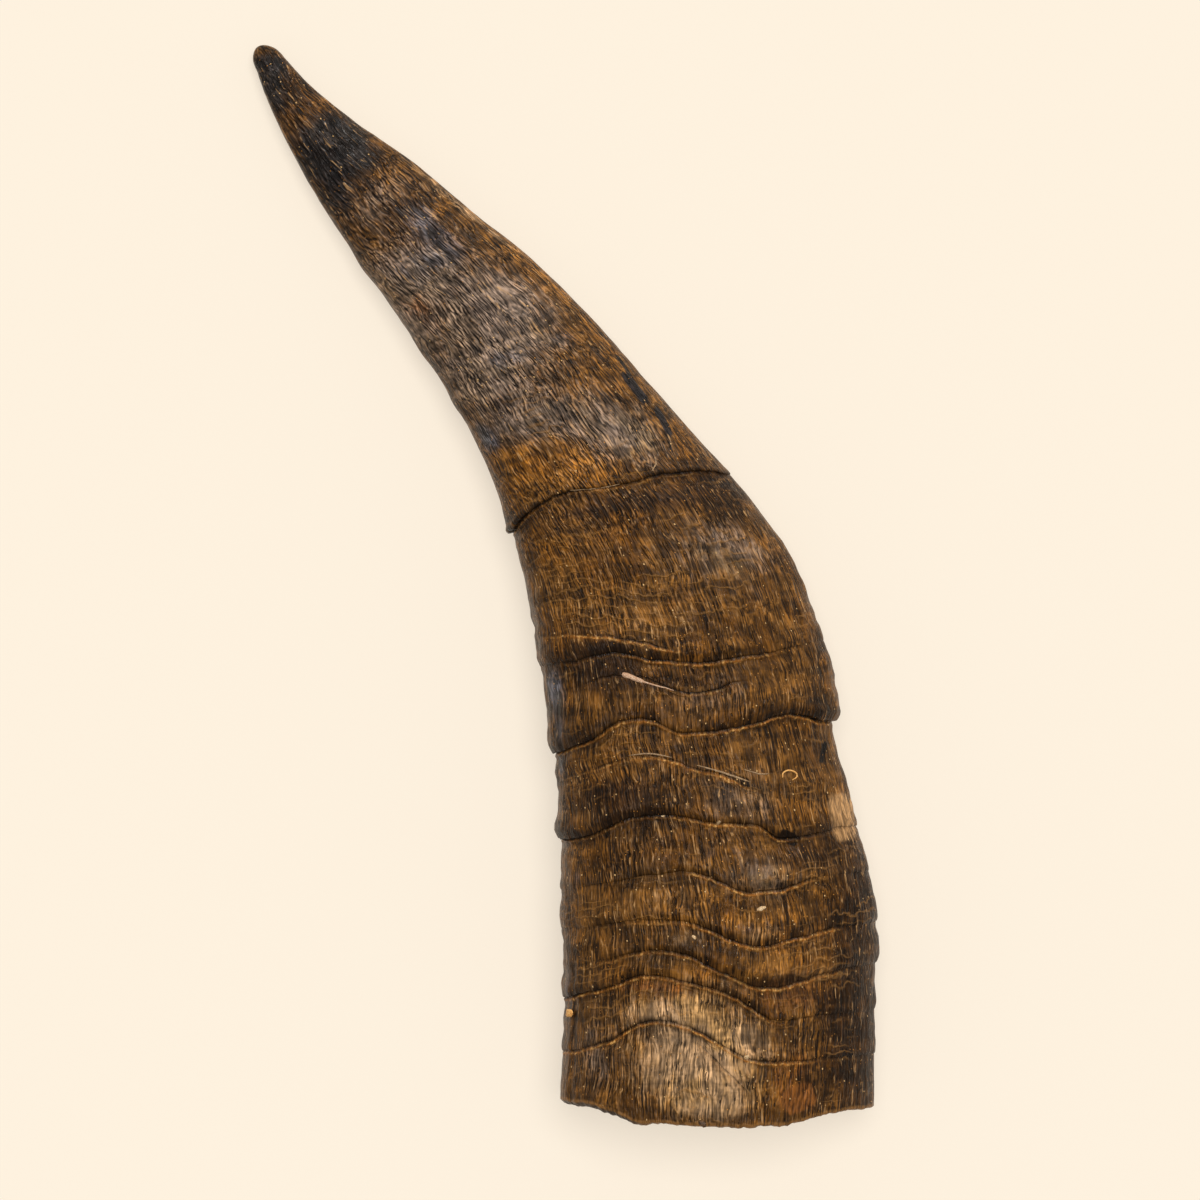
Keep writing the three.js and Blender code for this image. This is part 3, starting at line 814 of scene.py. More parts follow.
def laid_grid(name, points, values, materials, hollow_row):
    """A grid of faces laid on the points, row by row, with the values at its corners, and its
    seam and its two ends closed"""
    rows, columns = points.shape[:2]
    bm = bmesh.new()
    bmesh.ops.create_grid(bm, x_segments=columns - 1, y_segments=rows - 1, size=0.5)
    mesh = bpy.data.meshes.new("grid")
    bm.to_mesh(mesh)
    bm.free()
    flat = np.empty(len(mesh.vertices) * 3)
    mesh.vertices.foreach_get("co", flat)
    flat = flat.reshape(-1, 3)
    column = np.rint((flat[:, 0] + 0.5) * (columns - 1)).astype(int)
    row = np.rint((flat[:, 1] + 0.5) * (rows - 1)).astype(int)
    mesh.vertices.foreach_set("co", points[row, column].ravel())
    for label, value in values.items():
        lay_attribute(mesh, label, value[row, column])
    corners = np.empty(len(mesh.loops), dtype=int)
    mesh.loops.foreach_get("vertex_index", corners)
    in_hollow = row[corners.reshape(-1, 4)].min(axis=1) >= hollow_row
    mesh.polygons.foreach_set("material_index", in_hollow.astype(np.int32))
    bm = bmesh.new()
    bm.from_mesh(mesh)
    bpy.data.meshes.remove(mesh)
    bmesh.ops.remove_doubles(bm, verts=bm.verts, dist=WELD)
    bmesh.ops.recalc_face_normals(bm, faces=bm.faces)
    return finished(name, bm, materials)


# Node trees


def add(kind, sockets, tree=None, **settings):
    """A node with its settings, its sockets fed by values or by other nodes. It joins the tree
    of those nodes, or the tree that is named."""
    fed = [value for value in sockets.values() if isinstance(value, bpy.types.NodeSocket)]
    tree = tree or fed[0].id_data
    node = tree.nodes.new("ShaderNode" + kind)
    for name, value in settings.items():
        setattr(node, name, value)
    for name, value in sockets.items():
        if isinstance(value, bpy.types.NodeSocket):
            tree.links.new(value, node.inputs[name])
        else:
            node.inputs[name].default_value = value
    return node


def calc(operation, *values, clamp=False):
    """The result of a sum on numbers"""
    return add("Math", dict(enumerate(values)), operation=operation, use_clamp=clamp).outputs[0]


def times(first, second):
    return calc("MULTIPLY", first, second)


def plus(first, second):
    return calc("ADD", first, second)


def minus(first, second):
    return calc("SUBTRACT", first, second)


def vector(operation, *values, output=0):
    """The result of a sum on vectors"""
    return add("VectorMath", dict(enumerate(values)), operation=operation).outputs[output]


def step_up(value, low, high, start=0.0, end=1.0):
    """From start to end as the value goes smoothly from low to high"""
    sockets = {"Value": value, "From Min": low, "From Max": high, "To Min": start, "To Max": end}
    return add("MapRange", sockets, interpolation_type="SMOOTHSTEP").outputs[0]


def blend(amount, first, second, mode="MIX"):
    """Two colours mixed: a Mix node's colours are its sockets 6 and 7, its result socket 2"""
    sockets = {0: amount, 6: first, 7: second}
    return add("Mix", sockets, data_type="RGBA", blend_type=mode).outputs[2]


def linear(colour):
    """An sRGB colour out of 255 as the four linear numbers of a socket"""
    part = [c / 255 for c in colour]
    light = [c / 12.92 if c <= 0.04045 else ((c + 0.055) / 1.055) ** 2.4 for c in part]
    return (*light, 1.0)


def tint(colour, target, mask, amount=1.0):
    """The colour turned toward an sRGB colour where the mask says"""
    return blend(times(mask, amount), colour, linear(target))


def cloud(place, scale=1.0, detail=2.0, roughness=0.5, output="Fac"):
    """Smooth noise, its scale in features per millimetre, one for all axes or one for each"""
    if isinstance(scale, tuple):
        place, scale = vector("MULTIPLY", place, scale), 1.0
    sockets = {"Vector": place, "Scale": scale, "Detail": detail, "Roughness": roughness}
    return add("TexNoise", sockets).outputs[output]


def read(tree, name, output="Fac"):
    """A value laid on the mesh"""
    return add("Attribute", {}, tree, attribute_name=name).outputs[output]


ANYWHERE = (0, 0, 0)


def new_group(name, outputs, **inputs):
    """An empty node group with its inputs' usual values: its tree, the outputs of its input
    node, and its output node"""
    tree = bpy.data.node_groups.new(name, "ShaderNodeTree")
    for label, value in inputs.items():
        kind = "NodeSocketVector" if isinstance(value, tuple) else "NodeSocketFloat"
        socket = tree.interface.new_socket(label, in_out="INPUT", socket_type=kind)
        socket.default_value = value
    for label in outputs:
        kind = "NodeSocketVector" if label == "Vector" else "NodeSocketFloat"
        tree.interface.new_socket(label, in_out="OUTPUT", socket_type=kind)
    given = tree.nodes.new("NodeGroupInput").outputs
    result = tree.nodes.new("NodeGroupOutput").inputs
    return tree, given, result


def use(group, **sockets):
    """A group placed in the tree of the nodes that feed it"""
    return add("Group", sockets, node_tree=group).outputs


def drift_group():
    """Places pushed about by two sizes of noise, so that what runs along the horn wanders"""
    tree, given, result = new_group("Drift", ["Vector"], Vector=ANYWHERE, Broad=1.6, Fine=0.7)
    place = given["Vector"]
    for scale, amount in ((0.11, given["Broad"]), (0.55, given["Fine"])):
        push = cloud(given["Vector"], scale, 1.0, output="Color")
        centred = vector("SUBTRACT", push, (0.5, 0.5, 0.5))
        place = vector("ADD", place, vector("MULTIPLY", centred, amount))
    tree.links.new(place, result["Vector"])
    return tree


def fibre_group():
    """Lengthwise fibres: thin strands that follow the contours of a stretched noise"""
    tree, given, result = new_group(
        "Fibres", ["Strand", "Dash"], Vector=ANYWHERE, Across=1.1, Along=0.2, Strands=5.0
    )
    scale = add("CombineXYZ", {0: given["Across"], 1: given["Across"], 2: given["Along"]})
    place = vector("MULTIPLY", given["Vector"], scale.outputs[0])
    broad = cloud(place, 1.0, 2.5, 0.55)
    contour = calc("PINGPONG", times(broad, given["Strands"]), 0.5)
    tree.links.new(times(contour, 2.0), result["Strand"])
    tree.links.new(step_up(cloud(place, 2.3, 2.0, 0.6), 0.32, 0.68), result["Dash"])
    return tree


def speck_group():
    """Scattered specks: some of the cells of a Voronoi pattern hold a small spot"""
    tree, given, result = new_group(
        "Specks", ["Mask"], Vector=ANYWHERE, Spacing=(0.5, 0.5, 0.5), Size=0.16, Share=0.3
    )
    place = vector("MULTIPLY", given["Vector"], given["Spacing"])
    cells = add("TexVoronoi", {"Vector": place, "Scale": 1.0}).outputs
    near = step_up(cells["Distance"], times(given["Size"], 0.5), given["Size"], 1.0, 0.0)
    lot = add("SeparateColor", {0: cells["Color"]}).outputs[0]
    tree.links.new(times(near, calc("LESS_THAN", lot, given["Share"])), result["Mask"])
    return tree


def growth_group():
    """Fine growth lines across the horn, here and there, in step with its ledges"""
    tree, given, result = new_group(
        "Growth lines", ["Line"], Ring=0.0, Vector=ANYWHERE, Spacing=0.9, Shown=0.0
    )
    wave = plus(given["Ring"], times(cloud(given["Vector"], 0.35), 3.5))
    line = calc("PINGPONG", calc("DIVIDE", wave, given["Spacing"]), 1.0)
    thin = step_up(line, 0.0, 0.45, 1.0, 0.0)
    here = plus(cloud(given["Vector"], (0.09, 0.09, 0.22), 3.0), times(given["Shown"], 0.25))
    tree.links.new(times(thin, step_up(here, 0.52, 0.68)), result["Line"])
    return tree


def patch_group():
    """A soft stain broken up along the fibres, with ragged edges"""
    tree, given, result = new_group(
        "Ragged patch", ["Mask"], Mask=0.0, Vector=ANYWHERE, Streak=(0.9, 0.9, 0.25), Edge=0.3
    )
    streak = cloud(vector("MULTIPLY", given["Vector"], given["Streak"]), 1.0, 4.0, 0.65)
    level = plus(given["Mask"], minus(streak, 0.5))
    mask = step_up(level, minus(0.5, given["Edge"]), plus(0.5, given["Edge"]))
    tree.links.new(mask, result["Mask"])
    return tree


def spot_group():
    """One place on the horn: an oblong with rounded corners and a ragged edge, on the upper
    side"""
    tree, given, result = new_group(
        "Spot", ["Mask"], Vector=ANYWHERE, Centre=ANYWHERE, Turn=0.0, Size=(1, 1, 1), Ragged=0.4
    )
    away = vector("SUBTRACT", given["Vector"], given["Centre"])
    turned = add(
        "VectorRotate",
        {"Vector": away, "Axis": (0, 1, 0), "Angle": given["Turn"]},
        rotation_type="AXIS_ANGLE",
    )
    flat = vector("MULTIPLY", turned.outputs[0], (1, 0, 1))
    shares = vector("DIVIDE", flat, given["Size"])
    length = vector("LENGTH", vector("MULTIPLY", shares, shares), output="Value")
    rough = cloud(given["Vector"], (1.6, 1.6, 0.7), 3.0)
    uneven = times(minus(rough, 0.5), given["Ragged"])
    within = step_up(plus(calc("SQRT", length), uneven), 0.85, 1.1, 1.0, 0.0)
    height = add("SeparateXYZ", {0: given["Vector"]}).outputs[1]
    tree.links.new(times(within, step_up(height, -1.0, 1.0)), result["Mask"])
    return tree


DRIFT = drift_group()
FIBRES = fibre_group()
SPECKS = speck_group()
GROWTH = growth_group()
PATCH = patch_group()
SPOT = spot_group()


# Materials


# Places that stand out from the rest: across and along, half its width and length in mm,
# how it is turned, and its colour
MARKS = [
    dict(name="chipped edge", at=(0.91, 56.8), size=(2.6, 4.5), turn=0.05, colour=(168, 128, 84)),
    dict(name="pit", at=(0.52, 53.4), size=(2.2, 1.2), turn=-0.5, colour=(10, 6, 4)),
    dict(name="knob's crack", at=(0.9, 68.4), size=(0.45, 1.9), turn=-0.5, colour=(14, 10, 8)),
    dict(name="orange patch", at=(0.5, 2.6), size=(3.4, 2.6), turn=0.4, colour=(112, 68, 28)),
    dict(name="black streak", at=(0.83, 145), size=(1, 3.6), turn=0.05, colour=(24, 23, 27)),
    dict(name="streak's end", at=(0.82, 137.5), size=(0.7, 3), turn=-0.1, colour=(30, 28, 30)),
    dict(name="edge crack", at=(0.9, 149.5), size=(0.35, 3), turn=0, colour=(26, 20, 16)),
]

# The colours of the fine things on the horn, as sRGB out of 255
FIBRE_GAP = (22, 14, 9)
FIBRE_GLINT = (200, 156, 104)
GROWTH_LINE = (158, 112, 58)
PORE = (20, 14, 10)
LEDGE_SHADE = (28, 17, 9)
WORN = (168, 106, 42)
WORN_GLINT = (240, 182, 104)
# Painted shade in the clefts under the ledges
CLEFT_SHADE = (14, 10, 7)
# Painted glints on small specks, amber and cream
GRAIN_GLINT = (206, 140, 64)
FLECK_GLINT = (232, 188, 128)
BROKEN_RIM = (150, 106, 58)
CUT_WALL = (40, 28, 18)
LINING_DARK = (120, 86, 52)
LINING_PALE = (164, 130, 90)
LINING_CELL = (48, 32, 18)
GOLDEN = (1.14, 0.99, 0.5, 1)  # what golden brown is to grey brown, in linear numbers

# How deep the fine relief of the materials goes, in metres, and how the horn shines
HORN_RELIEF = 0.00026
LINING_RELIEF = 0.00015
FLAKE_RELIEF = 0.00005
HORN_SHINE = 0.12

PATCHES_APART = 31.0  # in mm: how far from each other the pigments' patterns are taken

# Strands: how close they are across and along the horn, how many there are to a bump of the noise,
# and how far beside a strand, in mm, the copy lies whose difference from it paints the strand's
# lit and shaded sides
FIBRE = dict(Across=1.15, Along=0.06, Strands=3.0)
BESIDE_FIBRE = (0.17, 0.06, 0.12)
SWIRL = dict(Across=0.42, Along=0.11, Strands=7.0)
BESIDE_SWIRL = (0.3, 0.1, 0.3)

# Specks: cells to a millimetre, how much of a cell a speck fills, and the share with one
# The first two kinds of specks are painted glints; the others are pores and the hollow's cells
GLINT_FLECKS = dict(Spacing=(0.75, 0.75, 0.6), Size=0.15, Share=0.35)
GLINT_GRAINS = dict(Spacing=(1.5, 1.5, 1.2), Size=0.19, Share=0.3)
PORES = dict(Spacing=(1.1, 1.1, 0.4), Size=0.2, Share=0.35)
HOLLOW_CELLS = dict(Spacing=(0.7, 0.7, 0.25), Size=0.25, Share=0.4)


def material_of(name):
    """An empty node material: its tree and its Principled shader"""
    material = bpy.data.materials.new(name)
    material.use_nodes = True
    tree = material.node_tree
    tree.nodes.clear()
    shader = tree.nodes.new("ShaderNodeBsdfPrincipled")
    output = tree.nodes.new("ShaderNodeOutputMaterial")
    tree.links.new(shader.outputs[0], output.inputs[0])
    return material, tree, shader


def finish_with(tree, shader, colour, rough, height, depth):
    """Feeds the shader its colour, roughness and the fine relief, depth being in metres"""
    bump = add("Bump", {"Height": height, "Distance": depth, "Strength": 1.0})
    tree.links.new(colour, shader.inputs["Base Color"])
    tree.links.new(rough, shader.inputs["Roughness"])
    tree.links.new(bump.outputs[0], shader.inputs["Normal"])


def strands_at(place, kind, beside):
    """Strands of a kind, their short dashes, and how much each strand differs from the one beside
    it, which paints a lit and a shaded side on it"""
    here = use(FIBRES, Vector=place, **kind)
    there = use(FIBRES, Vector=vector("ADD", place, beside), **kind)
    return here["Strand"], here["Dash"], minus(here["Strand"], there["Strand"])


def stained(tree, place):
    """The plain horn with its seven pigments, each in ragged patches; some of them carry painted
    sheen, a painted highlight and a painted lit edge
    """
    colour = linear(BARK)
    for number, (name, entry) in enumerate(PIGMENTS_AND_PAINTED_LIGHT.items()):
        elsewhere = vector("ADD", place, (number * PATCHES_APART, 0, 0))
        patch = use(PATCH, Mask=read(tree, name), Vector=elsewhere)["Mask"]
        colour = blend(patch, colour, linear(entry["colour"]))
    return colour


def mottled(colour, place, ring, broad, bands):
    """Broad light and dark, and a drift between golden and grey brown, weaker on the upper
    part"""
    mottle = times(step_up(broad, 0.34, 0.66, 0.6, 1.45), step_up(bands, 0.36, 0.6, 0.6, 1.2))
    colour = blend(1.0, colour, mottle, "MULTIPLY")
    hue = cloud(place, (0.16, 0.16, 0.1), 3.0, 0.6)
    golden = times(step_up(hue, 0.45, 0.62, 0.0, 0.55), step_up(ring, 125.0, 150.0, 1.0, 0.4))
    return blend(golden, colour, GOLDEN, "MULTIPLY")


def marked(colour, grown, light):
    """The places that stand out from the rest, as fibrous as it"""
    for mark in MARKS:
        across, along = mark["at"]
        centre = (float(section(np.array(float(along))).half) * across, 0, along)
        width, length = mark["size"]
        size = (width, 1, length)
        spot = use(SPOT, Vector=grown, Centre=centre, Turn=mark["turn"], Size=size)["Mask"]
        grain = blend(1.0, linear(mark["colour"]), light, "MULTIPLY")
        colour = blend(times(spot, 0.95), colour, grain)
    return colour


def ledged(colour, tree, place, broad):
    """The ledges: painted shade below them, the worn amber edge with painted glints along it, and
    the cleft painted black as shade in it
    """
    gritty = step_up(cloud(place, 0.9, 3.0, 0.7), 0.35, 0.6)
    gritty = times(gritty, step_up(cloud(place, 0.3), 0.4, 0.55, 0.35, 1.0))
    glint = step_up(cloud(place, 1.7, 2.0, 0.6), 0.5, 0.62)
    shade = calc("MULTIPLY", read(tree, "shade"), step_up(broad, 0.3, 0.6, 1.1, 0.6), clamp=True)
    amber = calc("MULTIPLY", read(tree, "amber"), plus(gritty, 0.3), clamp=True)
    # The clefts are painted near black, as shade in them
    cleft_shade = calc("MULTIPLY", read(tree, "cleft_and_shade"), plus(gritty, 0.6), clamp=True)
    colour = tint(colour, LEDGE_SHADE, shade)
    colour = blend(amber, colour, blend(glint, linear(WORN), linear(WORN_GLINT)))
    return tint(colour, CLEFT_SHADE, cleft_shade, 0.95)


def keratin_material():
    """The weathered outside of the sheath"""
    material, tree, shader = material_of("weathered keratin")
    grown = read(tree, "grown", "Vector")
    ring = read(tree, "ring")
    place = use(DRIFT, Vector=grown, Broad=2.2, Fine=0.35)["Vector"]
    growth = use(GROWTH, Ring=ring, Vector=place, Shown=read(tree, "lined"))["Line"]
    growth = times(growth, step_up(ring, 130.0, 180.0, 1.0, 0.0))
    glint_flecks, glint_grains, pores = (
        use(SPECKS, Vector=place, **kind)["Mask"] for kind in (GLINT_FLECKS, GLINT_GRAINS, PORES)
    )
    broad = cloud(place, (0.42, 0.42, 0.2), 3.0, 0.6)
    bands = cloud(place, (0.07, 0.07, 0.42), 3.0, 0.6)
    colour = mottled(stained(tree, place), place, ring, broad, bands)

    # Lengthwise fibres, stronger here than there, and swirling lines, strongest on the upper part:
    # each painted with a lit and a shaded side, as if lit from beside
    fibre, fibre_dash, rise = strands_at(place, FIBRE, BESIDE_FIBRE)
    swirl, swirl_dash, swirl_side_shade = strands_at(place, SWIRL, BESIDE_SWIRL)
    strand = plus(times(swirl, 0.5), times(fibre, 0.5))
    fibrous = step_up(cloud(grown, (0.2, 0.2, 0.12)), 0.38, 0.58, 0.25, 1.0)
    upper = step_up(ring, 100.0, 135.0, 0.2, 1.0)
    sides = plus(
        times(step_up(rise, -0.4, 0.4, -0.5, 0.5), fibrous),
        times(step_up(swirl_side_shade, -0.7, 0.7, -0.5, 0.5), upper),
    )
    light = times(step_up(strand, 0.1, 0.9, 0.62, 1.44), plus(sides, 1.0))
    dark = times(step_up(fibre_dash, 0.05, 0.3, 1.0, 0.0), fibrous)
    bright = times(step_up(fibre_dash, 0.8, 0.98), swirl_dash)
    bright = times(bright, step_up(strand, 0.5, 0.8))

    colour = blend(1.0, colour, light, "MULTIPLY")
    colour = tint(colour, FIBRE_GAP, dark, 0.85)
    colour = tint(colour, FIBRE_GLINT, bright, 0.8)
    colour = tint(colour, GROWTH_LINE, growth, 0.4)
    colour = tint(colour, PORE, pores, 0.8)
    colour = ledged(marked(colour, grown, light), tree, place, broad)
    # Painted glints on small specks
    colour = tint(colour, GRAIN_GLINT, glint_grains, step_up(bands, 0.4, 0.6, 0.3, 1.0))
    colour = tint(colour, FLECK_GLINT, glint_flecks, 0.9)
    frayed = step_up(fibre_dash, 0.1, 0.6, 0.5, 1.0)
    colour = tint(colour, BROKEN_RIM, read(tree, "broken"), frayed)
    colour = tint(colour, CUT_WALL, read(tree, "cut"), 0.9)

    height = plus(times(strand, 0.7), broad)
    height = plus(minus(height, times(dark, 0.7)), times(growth, 0.5))
    height = plus(minus(height, times(pores, 0.8)), times(glint_flecks, 0.8))
    rough = minus(step_up(strand, 0.0, 1.0, 0.5, 0.3), times(read(tree, "soot"), 0.08))
    finish_with(tree, shader, colour, rough, height, HORN_RELIEF)
    shader.inputs["Specular IOR Level"].default_value = HORN_SHINE
    return material


def hollow_material():
    """The lining of the hollow, tan and finely ridged along its length"""
    material, tree, shader = material_of("hollow lining")
    grown = read(tree, "grown", "Vector")
    place = use(DRIFT, Vector=grown, Broad=2.0, Fine=0.6)["Vector"]
    ridges = use(FIBRES, Vector=place, Across=0.8, Along=0.05, Strands=5.0)
    cells = use(SPECKS, Vector=place, **HOLLOW_CELLS)["Mask"]
    patch = step_up(cloud(place, 0.06, 4.0), 0.35, 0.65)
    colour = blend(patch, linear(LINING_DARK), linear(LINING_PALE))
    colour = blend(1.0, colour, step_up(ridges["Strand"], 0.0, 0.8, 0.6, 1.25), "MULTIPLY")
    colour = tint(colour, LINING_CELL, cells, 0.7)
    rough = step_up(ridges["Dash"], 0.0, 1.0, 0.55, 0.75)
    finish_with(tree, shader, colour, rough, minus(ridges["Strand"], cells), LINING_RELIEF)
    return material


def dry_material(name, light, dark):
    """Dry straw or a flake of horn, with fine lengthwise lines"""
    material, tree, shader = material_of(name)
    here = add("TexCoord", {}, tree).outputs["Object"]
    in_mm = vector("MULTIPLY", here, (1 / MM, 1 / MM, 1 / MM))
    lines = use(FIBRES, Vector=in_mm, Across=1.6, Along=0.6, Strands=4.0)
    colour = blend(lines["Strand"], linear(dark), linear(light))
    rough = step_up(lines["Dash"], 0.0, 1.0, 0.5, 0.7)
    finish_with(tree, shader, colour, rough, lines["Strand"], FLAKE_RELIEF)
    return material


# Flakes, straw and curled strands


FLAKE_UNEVEN = 0.35
FLAKE_GRAIN = 1.7  # bumps to half a flake
FLAKE_SEED = 60  # of the first flake, the others following it
FLAKE_BEND = 0.06
FLAKE_LIFT = 0.35  # how much of its thickness a flake stands above the skin
ABOVE = 0.1  # metres: higher than the horn


def surface_frame(skin, shift, across, along):
    """Where the horn's skin is seen from above, with its normal, at a place on it"""
    place = around(np.array([top_turn(across)]))
    along = np.array([float(along)])
    past = np.array([along - line.foot(place) for line in LINES])
    point = outside(along, place, solid_relief(along, place, past))[0]
    x, y, _ = (point + shift) * MM
    hit, normal, _, _ = skin.ray_cast(Vector((x, y, ABOVE)), Vector((0, 0, -1)))
    return hit, normal


def make_flake(name, skin, shift, at, size, turn, material, seed):
    """A thin flake lying on the skin, its ends bent up"""
    hit, normal = surface_frame(skin, shift, *at)
    bm = bmesh.new()
    bmesh.ops.create_icosphere(bm, subdivisions=3, radius=1)
    length, width, thick = size
    spots = np.array([v.co[:] for v in bm.verts])
    for vert, rough in zip(bm.verts, noise(spots * FLAKE_GRAIN, seed)):
        x, y, z = vert.co * (1 + FLAKE_UNEVEN * rough)
        vert.co = (x * length / 2, y * width / 2, z * thick / 2 + FLAKE_BEND * length * x * x)
    lift = Matrix.Translation(hit + normal * thick * FLAKE_LIFT * MM)
    facing = normal.to_track_quat("Z", "Y").to_matrix().to_4x4()
    bm.transform(lift @ facing @ Matrix.Rotation(turn, 4, "Z") @ Matrix.Scale(MM, 4))
    bmesh.ops.recalc_face_normals(bm, faces=bm.faces)
    finished(name, bm, [material])


STRAND_STEPS = 4  # pieces of a strand between two stations
STRAND_SIDES = 8


def make_strand(name, skin, shift, stations, material):
    """A strand that lies on the skin, through stations of across, along, width and thickness"""
    fine = np.linspace(0, len(stations) - 1, STRAND_STEPS * (len(stations) - 1) + 1)
    parts = [curve(dict(enumerate(part)))(fine) for part in zip(*stations)]
    stations = list(zip(*parts))
    frames = [surface_frame(skin, shift, *station[:2]) for station in stations]
    bm = bmesh.new()
    ring = bmesh.ops.create_circle(bm, cap_ends=False, segments=STRAND_SIDES, radius=1)["verts"]
    edges = list(bm.edges)
    rings = [ring]
    for _ in stations[1:]:
        grown = bmesh.ops.extrude_edge_only(bm, edges=edges)["geom"]
        ring = [part for part in grown if isinstance(part, bmesh.types.BMVert)]
        edges = [part for part in grown if isinstance(part, bmesh.types.BMEdge)]
        edges = [edge for edge in edges if all(vert in ring for vert in edge.verts)]
        rings.append(ring)
    last = len(stations) - 1
    for i, (ring, station) in enumerate(zip(rings, stations)):
        hit, normal = frames[i]
        run = frames[min(i + 1, last)][0] - frames[max(i - 1, 0)][0]
        side = run.cross(normal).normalized()
        _, _, width, thick = station
        for vert in ring:
            angle = math.atan2(vert.co.y, vert.co.x)
            out = side * math.cos(angle) * width / 2 + normal * (math.sin(angle) + 1) * thick / 2
            vert.co = hit + out * MM
    bmesh.ops.holes_fill(bm, edges=bm.edges, sides=STRAND_SIDES)
    bmesh.ops.recalc_face_normals(bm, faces=bm.faces)
    finished(name, bm, [material])


STRANDS = dict(
    straw=[
        (-0.45, 88.0, 0.5, 0.35), (-0.43, 87.7, 1.1, 0.45), (-0.38, 87.0, 1.0, 0.45),
        (-0.33, 86.3, 0.8, 0.4), (-0.3, 85.9, 0.35, 0.3), (-0.2, 84.8, 0.3, 0.25),
        (-0.12, 83.8, 0.15, 0.2),
    ],
    pale_strand_1=[(-0.48, 71.8, 0.2, 0.15), (-0.33, 71.7, 0.35, 0.2), (-0.18, 70.4, 0.2, 0.15)],
    pale_strand_2=[
        (-0.02, 68.4, 0.2, 0.15), (0.1, 67.2, 0.35, 0.2), (0.22, 65.8, 0.4, 0.2),
        (0.33, 64.5, 0.2, 0.15),
    ],
    pale_strand_3=[(0.3, 66.9, 0.15, 0.15), (0.4, 65.9, 0.3, 0.2), (0.47, 65.8, 0.15, 0.15)],
    pale_strand_4=[(0.38, 128.3, 0.2, 0.15), (0.46, 129.7, 0.35, 0.2), (0.5, 131.4, 0.15, 0.15)],
    pale_strand_5=[(-0.38, 127.4, 0.2, 0.15), (-0.15, 126.8, 0.35, 0.2), (0.05, 126.8, 0.2, 0.15)],
    amber_curl=[
        (0.555, 64.9, 0.2, 0.2), (0.565, 65.7, 0.3, 0.25), (0.605, 66.1, 0.35, 0.3),
        (0.65, 65.7, 0.35, 0.3), (0.655, 64.9, 0.3, 0.25), (0.62, 64.4, 0.15, 0.15),
    ],
)
FLAKES = [
    dict(name="cream_flake_1", at=(0.06, 57), size=(1.9, 0.7, 0.4), turn=1.3),
    dict(name="cream_flake_2", at=(0.26, 39.6), size=(1.9, 0.8, 0.4), turn=1.1),
    dict(name="cream_flake_3", at=(-0.3, 58.8), size=(1.1, 0.8, 0.4), turn=0.4),
    dict(name="cream_flake_4", at=(0.16, 10.8), size=(1.2, 0.8, 0.4), turn=0.3),
    dict(name="cream_flake_5", at=(-0.17, 34.2), size=(1.0, 0.7, 0.4), turn=2.3),
    dict(name="amber_flake", at=(-0.96, 18.6), size=(1.5, 2.8, 0.8), turn=0),
    dict(name="brown_crumb", at=(-0.1, -2.4), size=(1.7, 1.1, 0.8), turn=0.5),
]


def make_details(horn, shift):
    """The strands and the flakes that are stuck to the horn. The first word of a piece's name
    says what it is made of."""
    kinds = dict(
        cream=dry_material("cream flake", (232, 204, 160), (184, 142, 92)),
        straw=dry_material("dry straw", (226, 192, 160), (178, 132, 96)),
        pale=dry_material("loose fibre", (184, 152, 112), (120, 92, 62)),
        amber=dry_material("amber flake", (244, 192, 116), (214, 146, 68)),
        brown=dry_material("brown crumb", (110, 76, 40), (58, 38, 20)),
    )
    skin = BVHTree.FromPolygons(
        [v.co[:] for v in horn.data.vertices], [p.vertices[:] for p in horn.data.polygons]
    )
    for name, stations in STRANDS.items():
        make_strand(name, skin, shift, stations, kinds[name.split("_")[0]])
    for seed, flake in enumerate(FLAKES, start=FLAKE_SEED):
        material = kinds[flake["name"].split("_")[0]]
        make_flake(skin=skin, shift=shift, material=material, seed=seed, **flake)


# Floor, light and camera


CAMERA_HEIGHT = 1345  # above the floor
CAMERA_AT = (7.4, -3.1)  # in the horn's own measures
LENS = 200
SENSOR = 36
FLOOR_SIZE = 6000
FLOOR_COLOUR = (0.6, 0.542, 0.46, 1)
FLOOR_GLOW = 0.4  # the share of the paper's light that comes from below, which softens shadows
FLOOR_DROP = 0.1  # below the horn, so that the two don't touch
CREAM_AIR = (0.991, 0.896, 0.761, 1)
DIM_AIR = (1, 0.97, 0.93, 1)
DIM_AIR_STRENGTH = 0.22
SUN_COLOUR = (1, 0.98, 0.95)
CLIP = (0.05, 20)  # metres: the nearest and the farthest that the camera sees


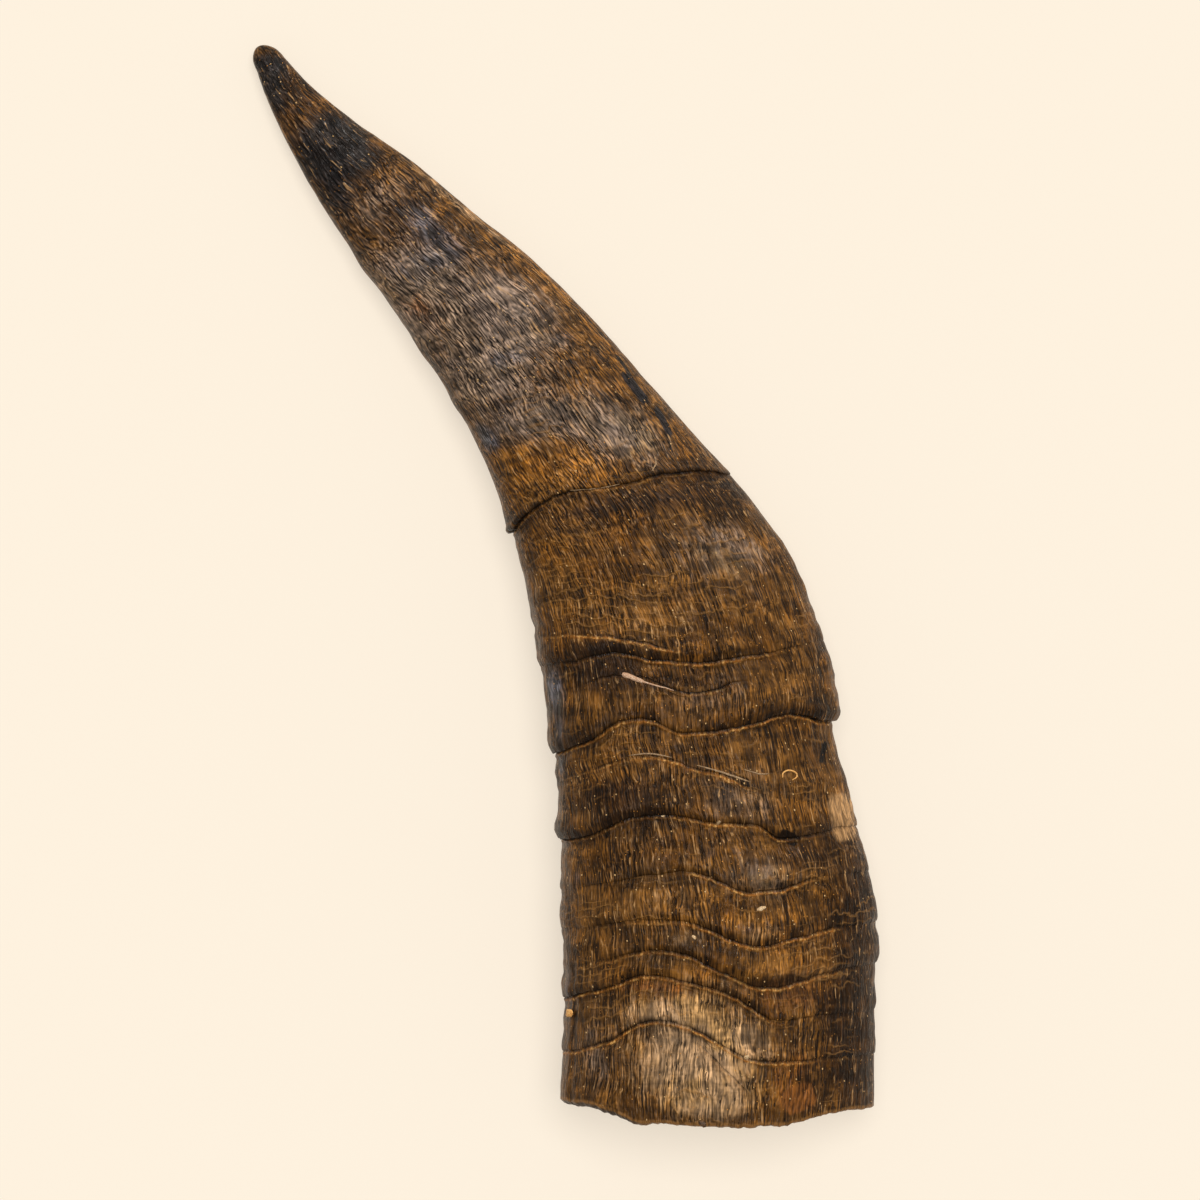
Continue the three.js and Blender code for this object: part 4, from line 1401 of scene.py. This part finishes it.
def make_floor():
    bm = bmesh.new()
    bmesh.ops.create_grid(bm, x_segments=1, y_segments=1, size=FLOOR_SIZE * MM / 2)
    bmesh.ops.translate(bm, verts=bm.verts, vec=(0, 0, -FLOOR_DROP * MM))
    mesh = bpy.data.meshes.new("floor")
    bm.to_mesh(mesh)
    bm.free()
    material, tree, shader = material_of("pale paper")
    shader.inputs["Base Color"].default_value = FLOOR_COLOUR
    shader.inputs["Roughness"].default_value = 1
    shader.inputs["Specular IOR Level"].default_value = 0
    shader.inputs["Emission Color"].default_value = CREAM_AIR
    shader.inputs["Emission Strength"].default_value = FLOOR_GLOW
    mesh.materials.append(material)
    floor = bpy.data.objects.new("floor", mesh)
    bpy.context.scene.collection.objects.link(floor)


def make_sun(name, azimuth, elevation, energy, softness):
    """A sun seen from the horn at an azimuth from +X and an elevation, in degrees"""
    data = bpy.data.lights.new(name, "SUN")
    data.energy = energy
    data.angle = math.radians(softness)
    data.color = SUN_COLOUR
    a, e = math.radians(azimuth), math.radians(elevation)
    toward = Vector((math.cos(a) * math.cos(e), math.sin(a) * math.cos(e), math.sin(e)))
    sun = bpy.data.objects.new(name, data)
    sun.rotation_euler = toward.to_track_quat("Z", "Y").to_euler()
    bpy.context.scene.collection.objects.link(sun)
    return sun


def make_world():
    """Dim light from all round, in air as cream as the floor"""
    world = bpy.data.worlds.new("studio")
    world.use_nodes = True
    tree = world.node_tree
    tree.nodes.clear()
    dim = add("Background", {"Color": DIM_AIR, "Strength": DIM_AIR_STRENGTH}, tree)
    seen = add("Background", {"Color": CREAM_AIR, "Strength": 1.0}, tree)
    ray = add("LightPath", {}, tree).outputs["Is Camera Ray"]
    both = add("MixShader", {0: ray, 1: dim.outputs[0], 2: seen.outputs[0]})
    output = tree.nodes.new("ShaderNodeOutputWorld")
    tree.links.new(both.outputs[0], output.inputs[0])
    bpy.context.scene.world = world


def make_camera(shift):
    data = bpy.data.cameras.new("camera")
    data.lens = LENS
    data.sensor_width = SENSOR
    data.clip_start, data.clip_end = CLIP
    camera = bpy.data.objects.new("camera", data)
    x, y = CAMERA_AT
    camera.location = ((x + shift[0]) * MM, (y + shift[1]) * MM, CAMERA_HEIGHT * MM)
    bpy.context.scene.collection.objects.link(camera)
    bpy.context.scene.camera = camera


def main():
    horn, shift = make_horn([keratin_material(), hollow_material()])
    make_details(horn, shift)
    make_floor()
    make_sun("key light", azimuth=66, elevation=82, energy=1.5, softness=30)
    relief = make_sun("relief light", azimuth=75, elevation=30, energy=1.9, softness=12)
    relief.data.use_shadow = False
    make_world()
    make_camera(shift)
    bpy.context.scene.view_settings.view_transform = "Standard"


main()
